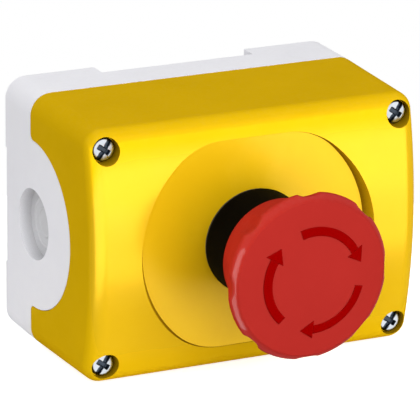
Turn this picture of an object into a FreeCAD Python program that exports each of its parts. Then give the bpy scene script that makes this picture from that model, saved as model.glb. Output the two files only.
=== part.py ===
import FreeCAD, Part
import os
import re

import Sketcher

# Enclosed emergency stop switch. X runs right, Z up, and the button faces -Y.
# The origin is the middle of the wall plane. "Forward" is the distance from that plane, so y = -forward.

# Driving sizes in millimetres, angles in degrees
SIZES = {
    # Case and its split
    "case_width": 86.0,
    "case_height": 63.0,
    "corner_radius": 5.1,
    "wall": 2.6,
    "fit_clearance": 0.1,
    "parting": 15.2,
    "joint_gap": 0.15,
    "lobe_radius": 20.6,
    "lobe_lead": 1.6,
    # Crowned lid with its round dish
    "lid_front": 50.85,
    "lid_draft": 1.4,
    "crown_radius": 110.0,
    "front_round": 3.8,
    "dish_radius": 30.2,
    "dish_half_height": 25.3,
    "dish_shoulder": 16.0,
    "dish_depth": 3.05,
    "dish_lean": 1.5,
    "dish_backing_wall": 1.5,
    "panel_thickness": 2.6,
    # Seal between base and lid
    "seal_inset": 1.05,
    "seal_width": 0.9,
    "seal_thickness": 1.1,
    "seal_clearance": 0.05,
    # Rear of the base
    "channel_width": 40.0,
    "channel_depth": 4.8,
    "relief_length": 28.8,
    "relief_depth": 0.7,
    "mount_inset": 11.5,
    "mount_hole_radius": 2.25,
    # Blind cable entries
    "entry_radius": 8.65,
    "entry_depth": 3.1,
    "entry_skin": 1.0,
    "entry_boss_wall": 1.6,
    # Lid screws
    "screw_inset": 5.3,
    "post_radius": 4.0,
    "shank_radius": 1.45,
    "shank_clearance": 0.15,
    "screw_head_radius": 2.9,
    "screw_head_height": 1.9,
    "counterbore_radius": 3.25,
    "screw_recess": 1.6,
    "screw_bite": 9.0,
    "screw_end_room": 1.3,
    # Collar, gasket and nut of the actuator
    "barrel_radius": 11.0,
    "barrel_wall": 2.0,
    "barrel_length": 13.8,
    "hole_clearance": 0.25,
    "collar_overhang": 1.8,
    "collar_height": 13.8,
    "collar_chamfer": 0.8,
    "gasket_thickness": 0.8,
    "gasket_width": 1.0,
    "gasket_inset": 0.2,
    "nut_wall": 2.0,
    "nut_height": 5.0,
    "seal_recess": 4.1,
    "wiper_width": 2.5,
    "wiper_thickness": 2.4,
    "web_thickness": 2.0,
    # Stem, its springs and its latch
    "push_travel": 4.0,
    "stem_radius": 6.0,
    "stem_clearance": 0.2,
    "neck_radius": 4.5,
    "flange_clearance": 0.3,
    "flange_thickness": 2.0,
    "trip_spring_length": 7.5,
    "trip_half_wire": 0.45,
    "trip_turns": 3.5,
    "presser_gap": 0.8,
    "latch_ridge_radius": 5.6,
    "latch_ridge_length": 1.6,
    "latch_gap": 0.5,
    "latch_half_wire": 0.5,
    # Mushroom head
    "head_radius": 20.0,
    "head_running_gap": 0.35,
    "head_gap": 12.4,
    "head_height": 19.9,
    "head_wall": 0.9,
    "head_cavity_radius": 15.4,
    "rim_band": 0.8,
    "edge_width": 2.4,
    "edge_round": 3.1,
    "edge_drop": 3.0,
    "dome_radius": 72.3,
    "scallop_radius": 6.8,
    "scallop_depth": 0.8,
    "scallop_count": 8,
    "hub_wall": 1.8,
    "hub_length": 2.2,
    "hub_run": 1.4,
    "hub_socket": 4.0,
    "ring_groove_depth": 0.9,
    "ring_thickness": 1.0,
    "ring_sweep": 330.0,
    "twist_half_wire": 0.3,
    "twist_turns": 2.5,
    # Contact holder and contact blocks
    "holder_wall": 2.0,
    "holder_half_height": 17.0,
    "holder_depth": 6.0,
    "holder_grip": 2.0,
    "holder_arm_width": 8.0,
    "holder_arm_thickness": 1.5,
    "holder_arm_length": 12.0,
    "block_width": 10.0,
    "block_half_height": 18.0,
    "block_gap": 0.4,
    "block_clearance": 2.1,
    "cover_thickness": 1.0,
    "cover_overlap": 2.0,
    "chamber_half_width": 4.0,
    "chamber_half_height": 5.0,
    "chamber_depth": 10.0,
    "contact_stroke_room": 6.1,
    "rivet_radius": 1.2,
    "rivet_height": 0.4,
    "strap_thickness": 0.8,
    "strap_half_width": 2.4,
    "strap_inner": 2.3,
    "strap_outer": 15.2,
    "strap_clearance": 0.1,
    "slider_half_width": 2.0,
    "slider_half_height": 1.7,
    "slider_clearance": 0.15,
    "slider_stop_width": 1.4,
    "slider_stop_length": 1.8,
    "slider_lead": 0.2,
    "nose_radius": 0.9,
    "nose_length": 1.6,
    "bridge_half_length": 4.6,
    "bridge_half_width": 2.0,
    "bridge_thickness": 0.8,
    "contact_half_wire": 0.2,
    "contact_coil_radius": 1.9,
    "contact_turns": 2.5,
    # Screw terminals
    "terminal_z": 12.0,
    "terminal_pocket": 3.5,
    "terminal_shank_radius": 1.25,
    "terminal_head_radius": 2.2,
    "terminal_head_height": 2.0,
    "terminal_bite": 3.5,
    "clamp_half_width": 3.0,
    "clamp_thickness": 1.0,
    "wire_entry_radius": 1.9,
}

PLANE_FRONT = "XZ_Plane"
PLANE_SIDE = "YZ_Plane"
PLANE_TOP = "XY_Plane"
FULL_CIRCLE = 360
HEX_STEP = 60
LEAST_CHANGE = 1e-6

# Places worked out from the driving sizes; those along the button's axis are forward of the wall plane
HALF_WIDTH = "(case_width / 2)"
HALF_HEIGHT = "(case_height / 2)"
SCREW_X = f"({HALF_WIDTH} - screw_inset)"
SCREW_Z = f"({HALF_HEIGHT} - screw_inset)"
CROWN_AT_SCREW = f"(lid_front - crown_radius + sqrt(crown_radius ^ 2 - {SCREW_Z} ^ 2))"
SCREW_TOP = f"({CROWN_AT_SCREW} - screw_recess)"
SCREW_SEAT = f"({SCREW_TOP} - screw_head_height)"
LOBE_CENTRE = "(parting + lobe_lead)"
LOBE_APEX = f"({LOBE_CENTRE} + lobe_radius)"
INNER_FLOOR = "(channel_depth + wall)"
MOUNT_X = f"((channel_width / 2 + {HALF_WIDTH}) / 2)"
MOUNT_Z = f"({HALF_HEIGHT} - mount_inset)"
DISH_FLOOR = "(lid_front - dish_depth)"
PANEL_REAR = f"({DISH_FLOOR} - panel_thickness)"
BARREL_BORE = "(barrel_radius - barrel_wall)"
BARREL_REAR = f"({DISH_FLOOR} - barrel_length)"
COLLAR_RADIUS = "(barrel_radius + collar_overhang)"
COLLAR_FRONT = f"({DISH_FLOOR} + collar_height)"
GUIDE_BORE = "(stem_radius + stem_clearance)"
SEAL_SEAT_RADIUS = f"({GUIDE_BORE} + wiper_width)"
WEB_FRONT = f"({COLLAR_FRONT} - seal_recess)"
WEB_REAR = f"({WEB_FRONT} - web_thickness)"
FLANGE_FRONT = f"({WEB_REAR} - trip_spring_length)"
FLANGE_RADIUS = f"({BARREL_BORE} - flange_clearance)"
TRIP_COIL_RADIUS = f"((stem_radius + {BARREL_BORE}) / 2)"
HEAD_REAR_RADIUS = f"({COLLAR_RADIUS} + head_running_gap + head_wall)"
HEAD_REAR = f"({DISH_FLOOR} + head_gap)"
HEAD_APEX = f"({HEAD_REAR} + head_height)"
FACE_EDGE_RADIUS = "(head_radius - edge_width)"
FACE_EDGE = f"({HEAD_APEX} - dome_radius + sqrt(dome_radius ^ 2 - {FACE_EDGE_RADIUS} ^ 2))"
RIM_FRONT = f"({FACE_EDGE} - edge_drop)"
HUB_REAR = f"({COLLAR_FRONT} + push_travel + hub_run)"
CAVITY_FLOOR = f"({HUB_REAR} + hub_length)"
HUB_RADIUS = f"({GUIDE_BORE} + hub_wall)"
SOCKET_FLOOR = f"({CAVITY_FLOOR} + hub_socket)"
RING_REAR = f"({CAVITY_FLOOR} + hub_socket / 4)"
BLOCK_FRONT = f"({BARREL_REAR} + holder_grip - holder_depth)"
BLOCK_REAR = f"({INNER_FLOOR} + block_clearance)"
COVER_FRONT = f"({BLOCK_REAR} + cover_thickness)"
CONTACT_PLANE = f"({COVER_FRONT} + contact_stroke_room)"
STRAP_REAR = f"({CONTACT_PLANE} + rivet_height)"
STRAP_FRONT = f"({STRAP_REAR} + strap_thickness)"
CHAMBER_FRONT = f"({COVER_FRONT} + chamber_depth)"
PRESSER_REAR = f"({BLOCK_FRONT} + push_travel + presser_gap)"
LATCH_WIRE = f"({PANEL_REAR} - nut_height - latch_half_wire - fit_clearance * 2)"
LATCH_LEG_X = "(neck_radius + stem_clearance + latch_half_wire)"
LATCH_LEG_END = BARREL_BORE

document = FreeCAD.newDocument("emergency_stop_switch")


def make_sheet(sizes):
    """Every driving size in a cell of its own, under its own name."""
    sheet = document.addObject("Spreadsheet::Sheet", "dims")
    for row, (alias, size) in enumerate(sizes.items(), start=1):
        sheet.set(f"A{row}", alias)
        sheet.set(f"B{row}", str(size))
        sheet.setAlias(f"B{row}", alias)
    document.recompute()
    return sheet


dims = make_sheet(SIZES)


def linked(text):
    """The text with each size's name turned into a reference to its cell."""
    return re.sub(r"[a-z_]+", lambda word: f"dims.{word[0]}" if word[0] in SIZES else word[0], text)


def bind(thing, prop, text):
    thing.setExpression(prop, linked(text))


def amount(text):
    return float(dims.evalExpression(linked(text)))


def minus(text):
    return f"-({text})"


def new_body(label):
    body = document.addObject("PartDesign::Body", label)
    body.Label = label
    body.AllowCompound = True
    return body


# Outlines: a loop is a list of corners (x, y). A corner (x, y, turn, radius) is reached by an arc,
# with turn "left" or "right" as seen along the way. A circle is ("circle", x, y, radius).


def rectangle(x_low, x_high, y_low, y_high):
    return [(x_low, y_low), (x_high, y_low), (x_high, y_high), (x_low, y_high)]


def centred(half_x, half_y):
    return rectangle(minus(half_x), half_x, minus(half_y), half_y)


def rounded(half_x, half_y, radius):
    """Centred rectangle with quarter-round corners, walked left-handed."""
    side_x = f"({half_x} - {radius})"
    side_y = f"({half_y} - {radius})"
    return [
        (minus(side_x), minus(half_y), "left", radius),
        (side_x, minus(half_y)),
        (half_x, minus(side_y), "left", radius),
        (half_x, side_y),
        (side_x, half_y, "left", radius),
        (minus(side_x), half_y),
        (minus(half_x), side_y, "left", radius),
        (minus(half_x), minus(side_y)),
    ]


def hexagon(across_flats):
    """Six corners about the button's axis."""
    radius = f"({across_flats} / (2 * cos({HEX_STEP // 2})))"
    turns = [HEX_STEP * k for k in range(FULL_CIRCLE // HEX_STEP)]
    return [(f"{radius} * cos({angle})", f"{radius} * sin({angle})") for angle in turns]


def circle(x, y, radius):
    return ("circle", x, y, radius)


def at_screws(radius):
    """One circle on each lid screw's axis."""
    return at_corners(SCREW_X, SCREW_Z, radius)


def at_corners(x, z, radius):
    """Four equal circles at (x, z) and its mirror images."""
    return [circle(side, level, radius) for side in (x, minus(x)) for level in (z, minus(z))]


def mirrored_z(x_low, x_high, z_low, z_high):
    """The same rectangle above and below the button's axis."""
    return [rectangle(x_low, x_high, z_low, z_high), rectangle(x_low, x_high, minus(z_high), minus(z_low))]


def at_terminals(axis_x, radius):
    return [circle(axis_x, "terminal_z", radius), circle(axis_x, "-terminal_z", radius)]


def across(axis_x, half):
    return f"{axis_x} - ({half})", f"{axis_x} + ({half})"


def forward_to_y(corners):
    """Corners given as (radius or forward first) with the forward axis turned to the frame's -Y."""
    swapped = {"left": "right", "right": "left"}
    return [(c[0], c[1], swapped[c[2]], c[3]) if len(c) == 4 else c for c in corners]


def turned_profile(corners):
    """Half section (radius, forward) of a round piece as a loop on the top plane."""
    return forward_to_y([(c[0], minus(c[1]), *c[2:]) for c in corners])


def side_profile(corners):
    """Outline (forward, up) as a loop on the side plane."""
    return forward_to_y([(minus(c[0]), *c[1:]) for c in corners])


def arc_between(start, end, turn, radius):
    """Short arc of the given radius from start to end, always drawn left-handed."""
    chord = end - start
    left = FreeCAD.Vector(-chord.y, chord.x, 0).normalize()
    reach = max(radius**2 - (chord.Length / 2) ** 2, 0) ** 0.5
    centre = (start + end) / 2 + left * (reach if turn == "left" else -reach)
    first, last = (start, end) if turn == "left" else (end, start)
    round_edge = Part.Circle(centre, FreeCAD.Vector(0, 0, 1), radius)
    return Part.ArcOfCircle(round_edge, round_edge.parameter(first), round_edge.parameter(last))


def add_constraint(sketch, kind, *places, text):
    index = sketch.addConstraint(Sketcher.Constraint(kind, *places, amount(text)))
    bind(sketch, f"Constraints[{index}]", text)


def draw_circle(sketch, x, y, radius):
    centre = FreeCAD.Vector(amount(x), amount(y), 0)
    edge = sketch.addGeometry(Part.Circle(centre, FreeCAD.Vector(0, 0, 1), amount(radius)))
    add_constraint(sketch, "Radius", edge, text=radius)
    add_constraint(sketch, "DistanceX", edge, 3, text=x)
    add_constraint(sketch, "DistanceY", edge, 3, text=y)


def draw_loop(sketch, corners):
    """Closed loop whose corners and arc radii are all bound to the sheet."""
    points = [FreeCAD.Vector(amount(c[0]), amount(c[1]), 0) for c in corners]
    edges = []
    for index, start in enumerate(points):
        following = (index + 1) % len(corners)
        target = corners[following]
        if len(target) == 2:
            edges.append((sketch.addGeometry(Part.LineSegment(start, points[following])), 1, 2))
            continue
        turn, radius = target[2:]
        edge = sketch.addGeometry(arc_between(start, points[following], turn, amount(radius)))
        edges.append((edge, 1, 2) if turn == "left" else (edge, 2, 1))
    for index, (edge, first, last) in enumerate(edges):
        following = (index + 1) % len(corners)
        next_edge, next_first, _ = edges[following]
        sketch.addConstraint(Sketcher.Constraint("Coincident", edge, last, next_edge, next_first))
        add_constraint(sketch, "DistanceX", edge, first, text=corners[index][0])
        add_constraint(sketch, "DistanceY", edge, first, text=corners[index][1])
        if len(corners[following]) == 4:
            add_constraint(sketch, "Radius", edge, text=corners[following][3])


def draw(body, plane, loops, offset="0"):
    """Sketch on one of the body's own origin planes, moved along the plane's normal by the offset."""
    sketch = body.newObject("Sketcher::SketchObject", f"{body.Label}_outline")
    support = next(feature for feature in body.Origin.OriginFeatures if feature.Role == plane)
    sketch.AttachmentSupport = [(support, "")]
    sketch.MapMode = "FlatFace"
    bind(sketch, "AttachmentOffset.Base.z", offset)
    for loop in loops:
        if loop[0] == "circle":
            draw_circle(sketch, *loop[1:])
        else:
            draw_loop(sketch, loop)
    return sketch


def settle(body, feature, volume_before, grows):
    """Recompute, and refuse a feature that changed nothing or went the wrong way."""
    document.recompute()
    change = body.Shape.Volume - volume_before
    if (change > 0) != grows or abs(change) < LEAST_CHANGE:
        raise RuntimeError(f"{feature.Label} of {body.Label} changed the volume by {change:.4f}")
    return feature


def volume_of(body):
    return body.Shape.Volume if body.Tip else 0.0


def extrude(body, kind, sketch, length, both_ways, reverse, taper):
    before = volume_of(body)
    feature = body.newObject(f"PartDesign::{kind}", f"{body.Label}_{kind.lower()}")
    feature.Profile = sketch
    feature.SideType = "Symmetric" if both_ways else "One side"
    feature.Reversed = reverse
    bind(feature, "Length", length)
    if taper:
        bind(feature, "TaperAngle", taper)
    return settle(body, feature, before, grows=kind == "Pad")


def pad(body, sketch, length, both_ways=False, reverse=False, taper=None):
    """Add the outline's extrusion, along the sketch's normal."""
    return extrude(body, "Pad", sketch, length, both_ways, reverse, taper)


def pocket(body, sketch, length, both_ways=False, reverse=False, taper=None):
    """Cut the outline's extrusion, against the sketch's normal."""
    return extrude(body, "Pocket", sketch, length, both_ways, reverse, taper)


def revolve(body, corners, angle=str(FULL_CIRCLE)):
    """Add the solid that a half section (radius, forward) sweeps about the button's axis."""
    before = volume_of(body)
    sketch = draw(body, PLANE_TOP, [turned_profile(corners)])
    feature = body.newObject("PartDesign::Revolution", f"{body.Label}_revolution")
    feature.Profile = sketch
    feature.ReferenceAxis = (sketch, ["V_Axis"])
    bind(feature, "Angle", angle)
    return settle(body, feature, before, grows=True)


def coil(label, coil_radius, half_wire, rear, front, turns, axis_x="0"):
    """Helical spring of square wire between two seats."""
    body = new_body(label)
    first = minus(f"{rear} + {half_wire}")
    section = rectangle(*across(coil_radius, half_wire), *across(first, half_wire))
    sketch = draw(body, PLANE_TOP, [section])
    feature = body.newObject("PartDesign::AdditiveHelix", f"{label}_helix")
    feature.Profile = sketch
    feature.ReferenceAxis = (sketch, ["V_Axis"])
    feature.Mode = "height-turns-angle"
    feature.Reversed = True
    bind(feature, "Height", f"{front} - ({rear}) - 2 * {half_wire}")
    bind(feature, "Turns", turns)
    bind(body, "Placement.Base.x", axis_x)
    return body


def boolean(label, kind, base, tool):
    feature = document.addObject(f"Part::{kind}", label)
    feature.Label = label
    feature.Base = base
    feature.Tool = tool
    document.recompute()
    return feature


def ring(label, inner, outer, rear, front):
    """Plain turned ring."""
    body = new_body(label)
    revolve(body, [(inner, rear), (outer, rear), (outer, front), (inner, front)])
    return body


# Case: one outer form, split by a flat joint with a round lobe at each end


def parting_path(offset):
    """The joint seen from the side, top to bottom, moved forward by the offset."""
    radius = f"(lobe_radius + {offset})"
    lead = f"(lobe_lead - ({offset}))"
    foot = "(lobe_radius + lobe_lead)"
    return [
        (f"parting + {offset}", foot),
        (LOBE_CENTRE, radius, "left", lead),
        (f"{LOBE_CENTRE} + {radius}", "0", "right", radius),
        (LOBE_CENTRE, minus(radius), "right", radius),
        (f"parting + {offset}", minus(foot), "left", lead),
    ]


def lobe_loop(offset):
    """The lobe alone, closed well behind the joint."""
    foot = "(lobe_radius + lobe_lead)"
    return [("0", foot), *parting_path(offset), ("0", minus(foot))]


def crown_loop(front):
    """Everything between the crowned face and the given front."""
    edge = "(lid_front - crown_radius + sqrt(crown_radius ^ 2 - case_height ^ 2))"
    return [
        (edge, "-case_height"),
        ("lid_front", "0", "left", "crown_radius"),
        (edge, "case_height", "left", "crown_radius"),
        (front, "case_height"),
        (front, "-case_height"),
    ]


def case_outline():
    return rounded(HALF_WIDTH, HALF_HEIGHT, "corner_radius")


def make_base():
    body = new_body("base_moulding")
    pad(body, draw(body, PLANE_FRONT, [case_outline()]), "parting")
    lobe_room = f"({LOBE_APEX} + wall)"
    upper = draw(body, PLANE_FRONT, [case_outline()], "parting")
    pad(body, upper, f"{lobe_room} - parting", taper="-lid_draft")
    above_joint = [*parting_path("0"), ("parting", "-case_height"), (lobe_room, "-case_height")]
    above_joint += [(lobe_room, "case_height"), ("parting", "case_height")]
    pocket(body, draw(body, PLANE_SIDE, [side_profile(above_joint)]), "case_width * 2", both_ways=True)
    hollow_base(body)
    rear_of_base(body)
    for left in (True, False):
        cable_entry(body, left)
    pilots = draw(body, PLANE_FRONT, at_screws("shank_radius + shank_clearance"), "parting")
    pocket(body, pilots, "screw_bite + screw_end_room")
    return body


def hollow_base(body):
    """Cavity over a stepped floor, and a post for each lid screw."""
    inner_x = f"({HALF_WIDTH} - wall)"
    inner_z = f"({HALF_HEIGHT} - wall)"
    cavity = rounded(inner_x, inner_z, "(corner_radius - wall)")
    pocket(body, draw(body, PLANE_FRONT, [cavity], LOBE_APEX), f"{LOBE_APEX} - {INNER_FLOOR}")
    foot = "(channel_width / 2 + wall)"
    feet = [
        rectangle(foot, inner_x, minus(inner_z), inner_z),
        rectangle(minus(inner_x), minus(foot), minus(inner_z), inner_z),
    ]
    pocket(body, draw(body, PLANE_FRONT, feet, INNER_FLOOR), f"{INNER_FLOOR} - wall")
    pad(body, draw(body, PLANE_FRONT, at_screws("post_radius"), "wall / 2"), "parting - wall / 2")


def rear_of_base(body):
    """Wide channel between two foot bars, a shallow relief that leaves four pads, and four mounting holes."""
    channel = centred("channel_width / 2", "case_height")
    pocket(body, draw(body, PLANE_FRONT, [channel]), "channel_depth", reverse=True)
    relief = centred("case_width", "relief_length / 2")
    pocket(body, draw(body, PLANE_FRONT, [relief]), "relief_depth", reverse=True)
    holes = at_corners(MOUNT_X, MOUNT_Z, "mount_hole_radius")
    pocket(body, draw(body, PLANE_FRONT, holes), INNER_FLOOR, reverse=True)


def cable_entry(body, left):
    """Blind round entry in an end wall, with a thin skin to knock out and a boss behind it."""
    sign = "-1" if left else "1"
    round_boss = [circle(minus(LOBE_CENTRE), "0", "entry_radius + entry_boss_wall")]
    boss = draw(body, PLANE_SIDE, round_boss, f"{sign} * ({HALF_WIDTH} - wall / 2)")
    pad(body, boss, "entry_depth + entry_skin - wall / 2", reverse=not left)
    mouth = [circle(minus(LOBE_CENTRE), "0", "entry_radius")]
    pocket(body, draw(body, PLANE_SIDE, mouth, f"{sign} * {HALF_WIDTH}"), "entry_depth", reverse=left)


def make_lid():
    body = new_body("lid_moulding")
    rim = "(parting + joint_gap)"
    pad(body, draw(body, PLANE_FRONT, [case_outline()], rim), f"lid_front - {rim}", taper="-lid_draft")
    inner_x = f"({HALF_WIDTH} - wall - (lid_front - parting) * tan(lid_draft))"
    inner_z = f"({HALF_HEIGHT} - wall - (lid_front - parting) * tan(lid_draft))"
    radius = "(crown_radius - wall)"
    ceiling = f"(lid_front - crown_radius + sqrt({radius} ^ 2 - {inner_z} ^ 2))"
    cavity = [
        ("0", minus(inner_z)),
        (ceiling, minus(inner_z)),
        ("lid_front - wall", "0", "left", radius),
        (ceiling, inner_z, "left", radius),
        ("0", inner_z),
    ]
    pocket(body, draw(body, PLANE_SIDE, [side_profile(cavity)]), f"2 * {inner_x}", both_ways=True)
    pad(body, draw(body, PLANE_FRONT, at_screws("post_radius"), rim), f"lid_front - {rim}")
    pad(body, draw(body, PLANE_FRONT, [dish_backing()], PANEL_REAR), f"lid_front - {PANEL_REAR}")
    beyond = "(lid_front + wall)"
    crown = draw(body, PLANE_SIDE, [side_profile(crown_loop(beyond))])
    pocket(body, crown, "case_width * 2", both_ways=True)
    round_front_edges(body)
    cut_dish(body)
    cut_screw_ways(body)
    lobes = draw(body, PLANE_SIDE, [side_profile(lobe_loop("joint_gap"))])
    pocket(body, lobes, "case_width * 2", both_ways=True)
    return body


def dish_backing():
    """Disc that carries the dish's floor, clipped above and below where the crown already closes it."""
    radius = "(dish_radius + dish_backing_wall)"
    flat = f"min({HALF_HEIGHT} - wall - front_round / 2; dish_radius)"
    side = f"sqrt({radius} ^ 2 - {flat} ^ 2)"
    return [
        (minus(side), minus(flat), "left", radius),
        (side, minus(flat)),
        (radius, "0", "left", radius),
        (side, flat, "left", radius),
        (minus(side), flat),
        (minus(radius), "0", "left", radius),
    ]


def round_front_edges(body):
    """Roll the crowned face over into the lid's four sides."""
    shape = body.Shape
    crown = max((f for f in shape.Faces if "Cylinder" in str(f.Surface)), key=lambda face: face.Area)
    rim = crown.OuterWire.Edges
    names = [f"Edge{i}" for i, edge in enumerate(shape.Edges, 1) if any(edge.isSame(other) for other in rim)]
    before = volume_of(body)
    base = body.Tip
    feature = body.newObject("PartDesign::Fillet", "front_round")
    feature.Base = (base, names)
    bind(feature, "Radius", "front_round")
    settle(body, feature, before, grows=False)


def dish_outline():
    """Foot of the dish's wall: a circle flattened above and below, with rounded shoulders between."""
    foot = "(dish_radius - dish_lean)"
    reach = f"({foot} - dish_shoulder)"
    rise = "(dish_half_height - dish_shoulder)"
    flat_x = f"sqrt({reach} ^ 2 - {rise} ^ 2)"
    side_x = f"({flat_x} * {foot} / {reach})"
    side_z = f"({rise} * {foot} / {reach})"
    return [
        (flat_x, "-dish_half_height"),
        (side_x, minus(side_z), "left", "dish_shoulder"),
        (side_x, side_z, "left", foot),
        (flat_x, "dish_half_height", "left", "dish_shoulder"),
        (minus(flat_x), "dish_half_height"),
        (minus(side_x), side_z, "left", "dish_shoulder"),
        (minus(side_x), minus(side_z), "left", foot),
        (minus(flat_x), "-dish_half_height", "left", "dish_shoulder"),
    ]


def cut_dish(body):
    """Dish with a flat floor and a leaning wall, then the hole for the actuator's barrel."""
    outline = draw(body, PLANE_FRONT, [dish_outline()], DISH_FLOOR)
    pocket(body, outline, "dish_depth + wall", reverse=True, taper="atan(dish_lean / dish_depth)")
    hole = draw(body, PLANE_FRONT, [circle("0", "0", "barrel_radius + hole_clearance")], DISH_FLOOR)
    pocket(body, hole, "panel_thickness * 2")


def cut_screw_ways(body):
    """Counterbore for each screw's head and a clearance hole for its shank."""
    heads = draw(body, PLANE_FRONT, at_screws("counterbore_radius"), "lid_front")
    pocket(body, heads, f"lid_front - {SCREW_SEAT}")
    ways = draw(body, PLANE_FRONT, at_screws("shank_radius + shank_clearance"), SCREW_SEAT)
    pocket(body, ways, SCREW_SEAT)


def seal_solid(label, spare):
    """Strip that follows the joint all round: a thin frame met by a band along the parting path."""
    half = "(seal_thickness / 2)"
    frame = new_body(f"{label}_frame")
    outer = [f"({half_side} - seal_inset + {spare})" for half_side in (HALF_WIDTH, HALF_HEIGHT)]
    inner = [f"({half_side} - seal_inset - seal_width - {spare})" for half_side in (HALF_WIDTH, HALF_HEIGHT)]
    loops = [
        rounded(*outer, f"(corner_radius - seal_inset + {spare})"),
        rounded(*inner, f"(corner_radius - seal_inset - seal_width - {spare})"),
    ]
    pad(frame, draw(frame, PLANE_FRONT, loops), f"{LOBE_APEX} + wall")
    band = new_body(f"{label}_band")
    front = parting_path(f"({half} + {spare})")
    rear = parting_path(f"(-{half} - {spare})")
    front_level = front[0][0]
    rear_level = rear[0][0]
    loop = [(front_level, "case_height"), *front, (front_level, "-case_height"), (rear_level, "-case_height")]
    loop += [*backwards(rear), (rear_level, "case_height")]
    pad(band, draw(band, PLANE_SIDE, [side_profile(loop)]), "case_width * 2", both_ways=True)
    return boolean(label, "Common", frame, band)


def backwards(path):
    """The same path walked from its end to its start."""
    swapped = {"left": "right", "right": "left"}
    corners = [path[-1][:2]]
    for index in range(len(path) - 1, 0, -1):
        arriving = path[index]
        start = path[index - 1]
        corners.append((*start[:2], swapped[arriving[2]], arriving[3]))
    return corners


def make_lid_screws():
    body = new_body("lid_screws")
    rear = "(parting - screw_bite)"
    pad(body, draw(body, PLANE_FRONT, at_screws("shank_radius"), rear), f"{SCREW_SEAT} - {rear}")
    pad(body, draw(body, PLANE_FRONT, at_screws("screw_head_radius"), SCREW_SEAT), "screw_head_height")
    return body


# Actuator: collar, gasket, nut, stem, latch and head


def make_collar():
    """Black collar on the dish floor, its barrel through the lid, and a web that guides the stem."""
    body = new_body("bezel_collar")
    flange = f"({DISH_FLOOR} + gasket_thickness)"
    chamfer_rear = f"({COLLAR_FRONT} - collar_chamfer)"
    revolve(
        body,
        [
            (BARREL_BORE, BARREL_REAR),
            ("barrel_radius", BARREL_REAR),
            ("barrel_radius", flange),
            (COLLAR_RADIUS, flange),
            (COLLAR_RADIUS, chamfer_rear),
            (f"{COLLAR_RADIUS} - collar_chamfer", COLLAR_FRONT),
            (SEAL_SEAT_RADIUS, COLLAR_FRONT),
            (SEAL_SEAT_RADIUS, WEB_FRONT),
            (GUIDE_BORE, WEB_FRONT),
            (GUIDE_BORE, WEB_REAR),
            (BARREL_BORE, WEB_REAR),
        ],
    )
    slot = "(latch_half_wire + fit_clearance)"
    slots = [
        rectangle(*across(LATCH_LEG_X, slot), "-barrel_radius", "barrel_radius"),
        rectangle(*across(minus(LATCH_LEG_X), slot), "-barrel_radius", "barrel_radius"),
    ]
    pocket(body, draw(body, PLANE_FRONT, slots, f"{LATCH_WIRE} + {slot}"), f"2 * {slot}")
    return body


def make_lock_nut():
    body = new_body("lock_nut")
    flats = hexagon("2 * (barrel_radius + nut_wall)")
    bore = circle("0", "0", "barrel_radius + fit_clearance")
    pad(body, draw(body, PLANE_FRONT, [flats, bore], f"{PANEL_REAR} - nut_height"), "nut_height")
    return body


def make_stem():
    """Plunger: presser at the rear, latch ridge, spring flange, and the shaft that carries the head."""
    body = new_body("stem")
    presser_front = f"({PRESSER_REAR} + flange_thickness)"
    ridge_rear = f"({LATCH_WIRE} + latch_half_wire + latch_gap)"
    ridge_front = f"({ridge_rear} + latch_ridge_length)"
    slope = "(latch_ridge_radius - neck_radius) / 2"
    flange_rear = f"({FLANGE_FRONT} - flange_thickness)"
    groove = "(stem_radius - ring_groove_depth / 2)"
    groove_front = f"({RING_REAR} + ring_thickness + 2 * fit_clearance)"
    revolve(
        body,
        [
            ("0", PRESSER_REAR),
            (FLANGE_RADIUS, PRESSER_REAR),
            (FLANGE_RADIUS, presser_front),
            ("neck_radius", presser_front),
            ("neck_radius", ridge_rear),
            ("latch_ridge_radius", f"{ridge_rear} + {slope}"),
            ("latch_ridge_radius", f"{ridge_front} - {slope}"),
            ("neck_radius", ridge_front),
            ("neck_radius", flange_rear),
            (FLANGE_RADIUS, flange_rear),
            (FLANGE_RADIUS, FLANGE_FRONT),
            ("stem_radius", FLANGE_FRONT),
            ("stem_radius", RING_REAR),
            (groove, RING_REAR),
            (groove, groove_front),
            ("stem_radius", groove_front),
            ("stem_radius", f"{SOCKET_FLOOR} - stem_clearance"),
            ("0", f"{SOCKET_FLOOR} - stem_clearance"),
        ],
    )
    return body


def make_latch_clip():
    """U-shaped square wire whose two legs lie beside the stem's neck."""
    body = new_body("latch_clip")
    inner = f"({LATCH_LEG_X} - latch_half_wire)"
    outer = f"({LATCH_LEG_X} + latch_half_wire)"
    loop = [
        (outer, minus(LATCH_LEG_END)),
        (outer, LATCH_LEG_END),
        ("0", f"{LATCH_LEG_END} + {outer}", "left", outer),
        (minus(outer), LATCH_LEG_END, "left", outer),
        (minus(outer), minus(LATCH_LEG_END)),
        (minus(inner), minus(LATCH_LEG_END)),
        (minus(inner), LATCH_LEG_END),
        ("0", f"{LATCH_LEG_END} + {inner}", "right", inner),
        (inner, LATCH_LEG_END, "right", inner),
        (inner, minus(LATCH_LEG_END)),
    ]
    pad(body, draw(body, PLANE_FRONT, [loop], f"{LATCH_WIRE} - latch_half_wire"), "2 * latch_half_wire")
    return body


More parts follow.
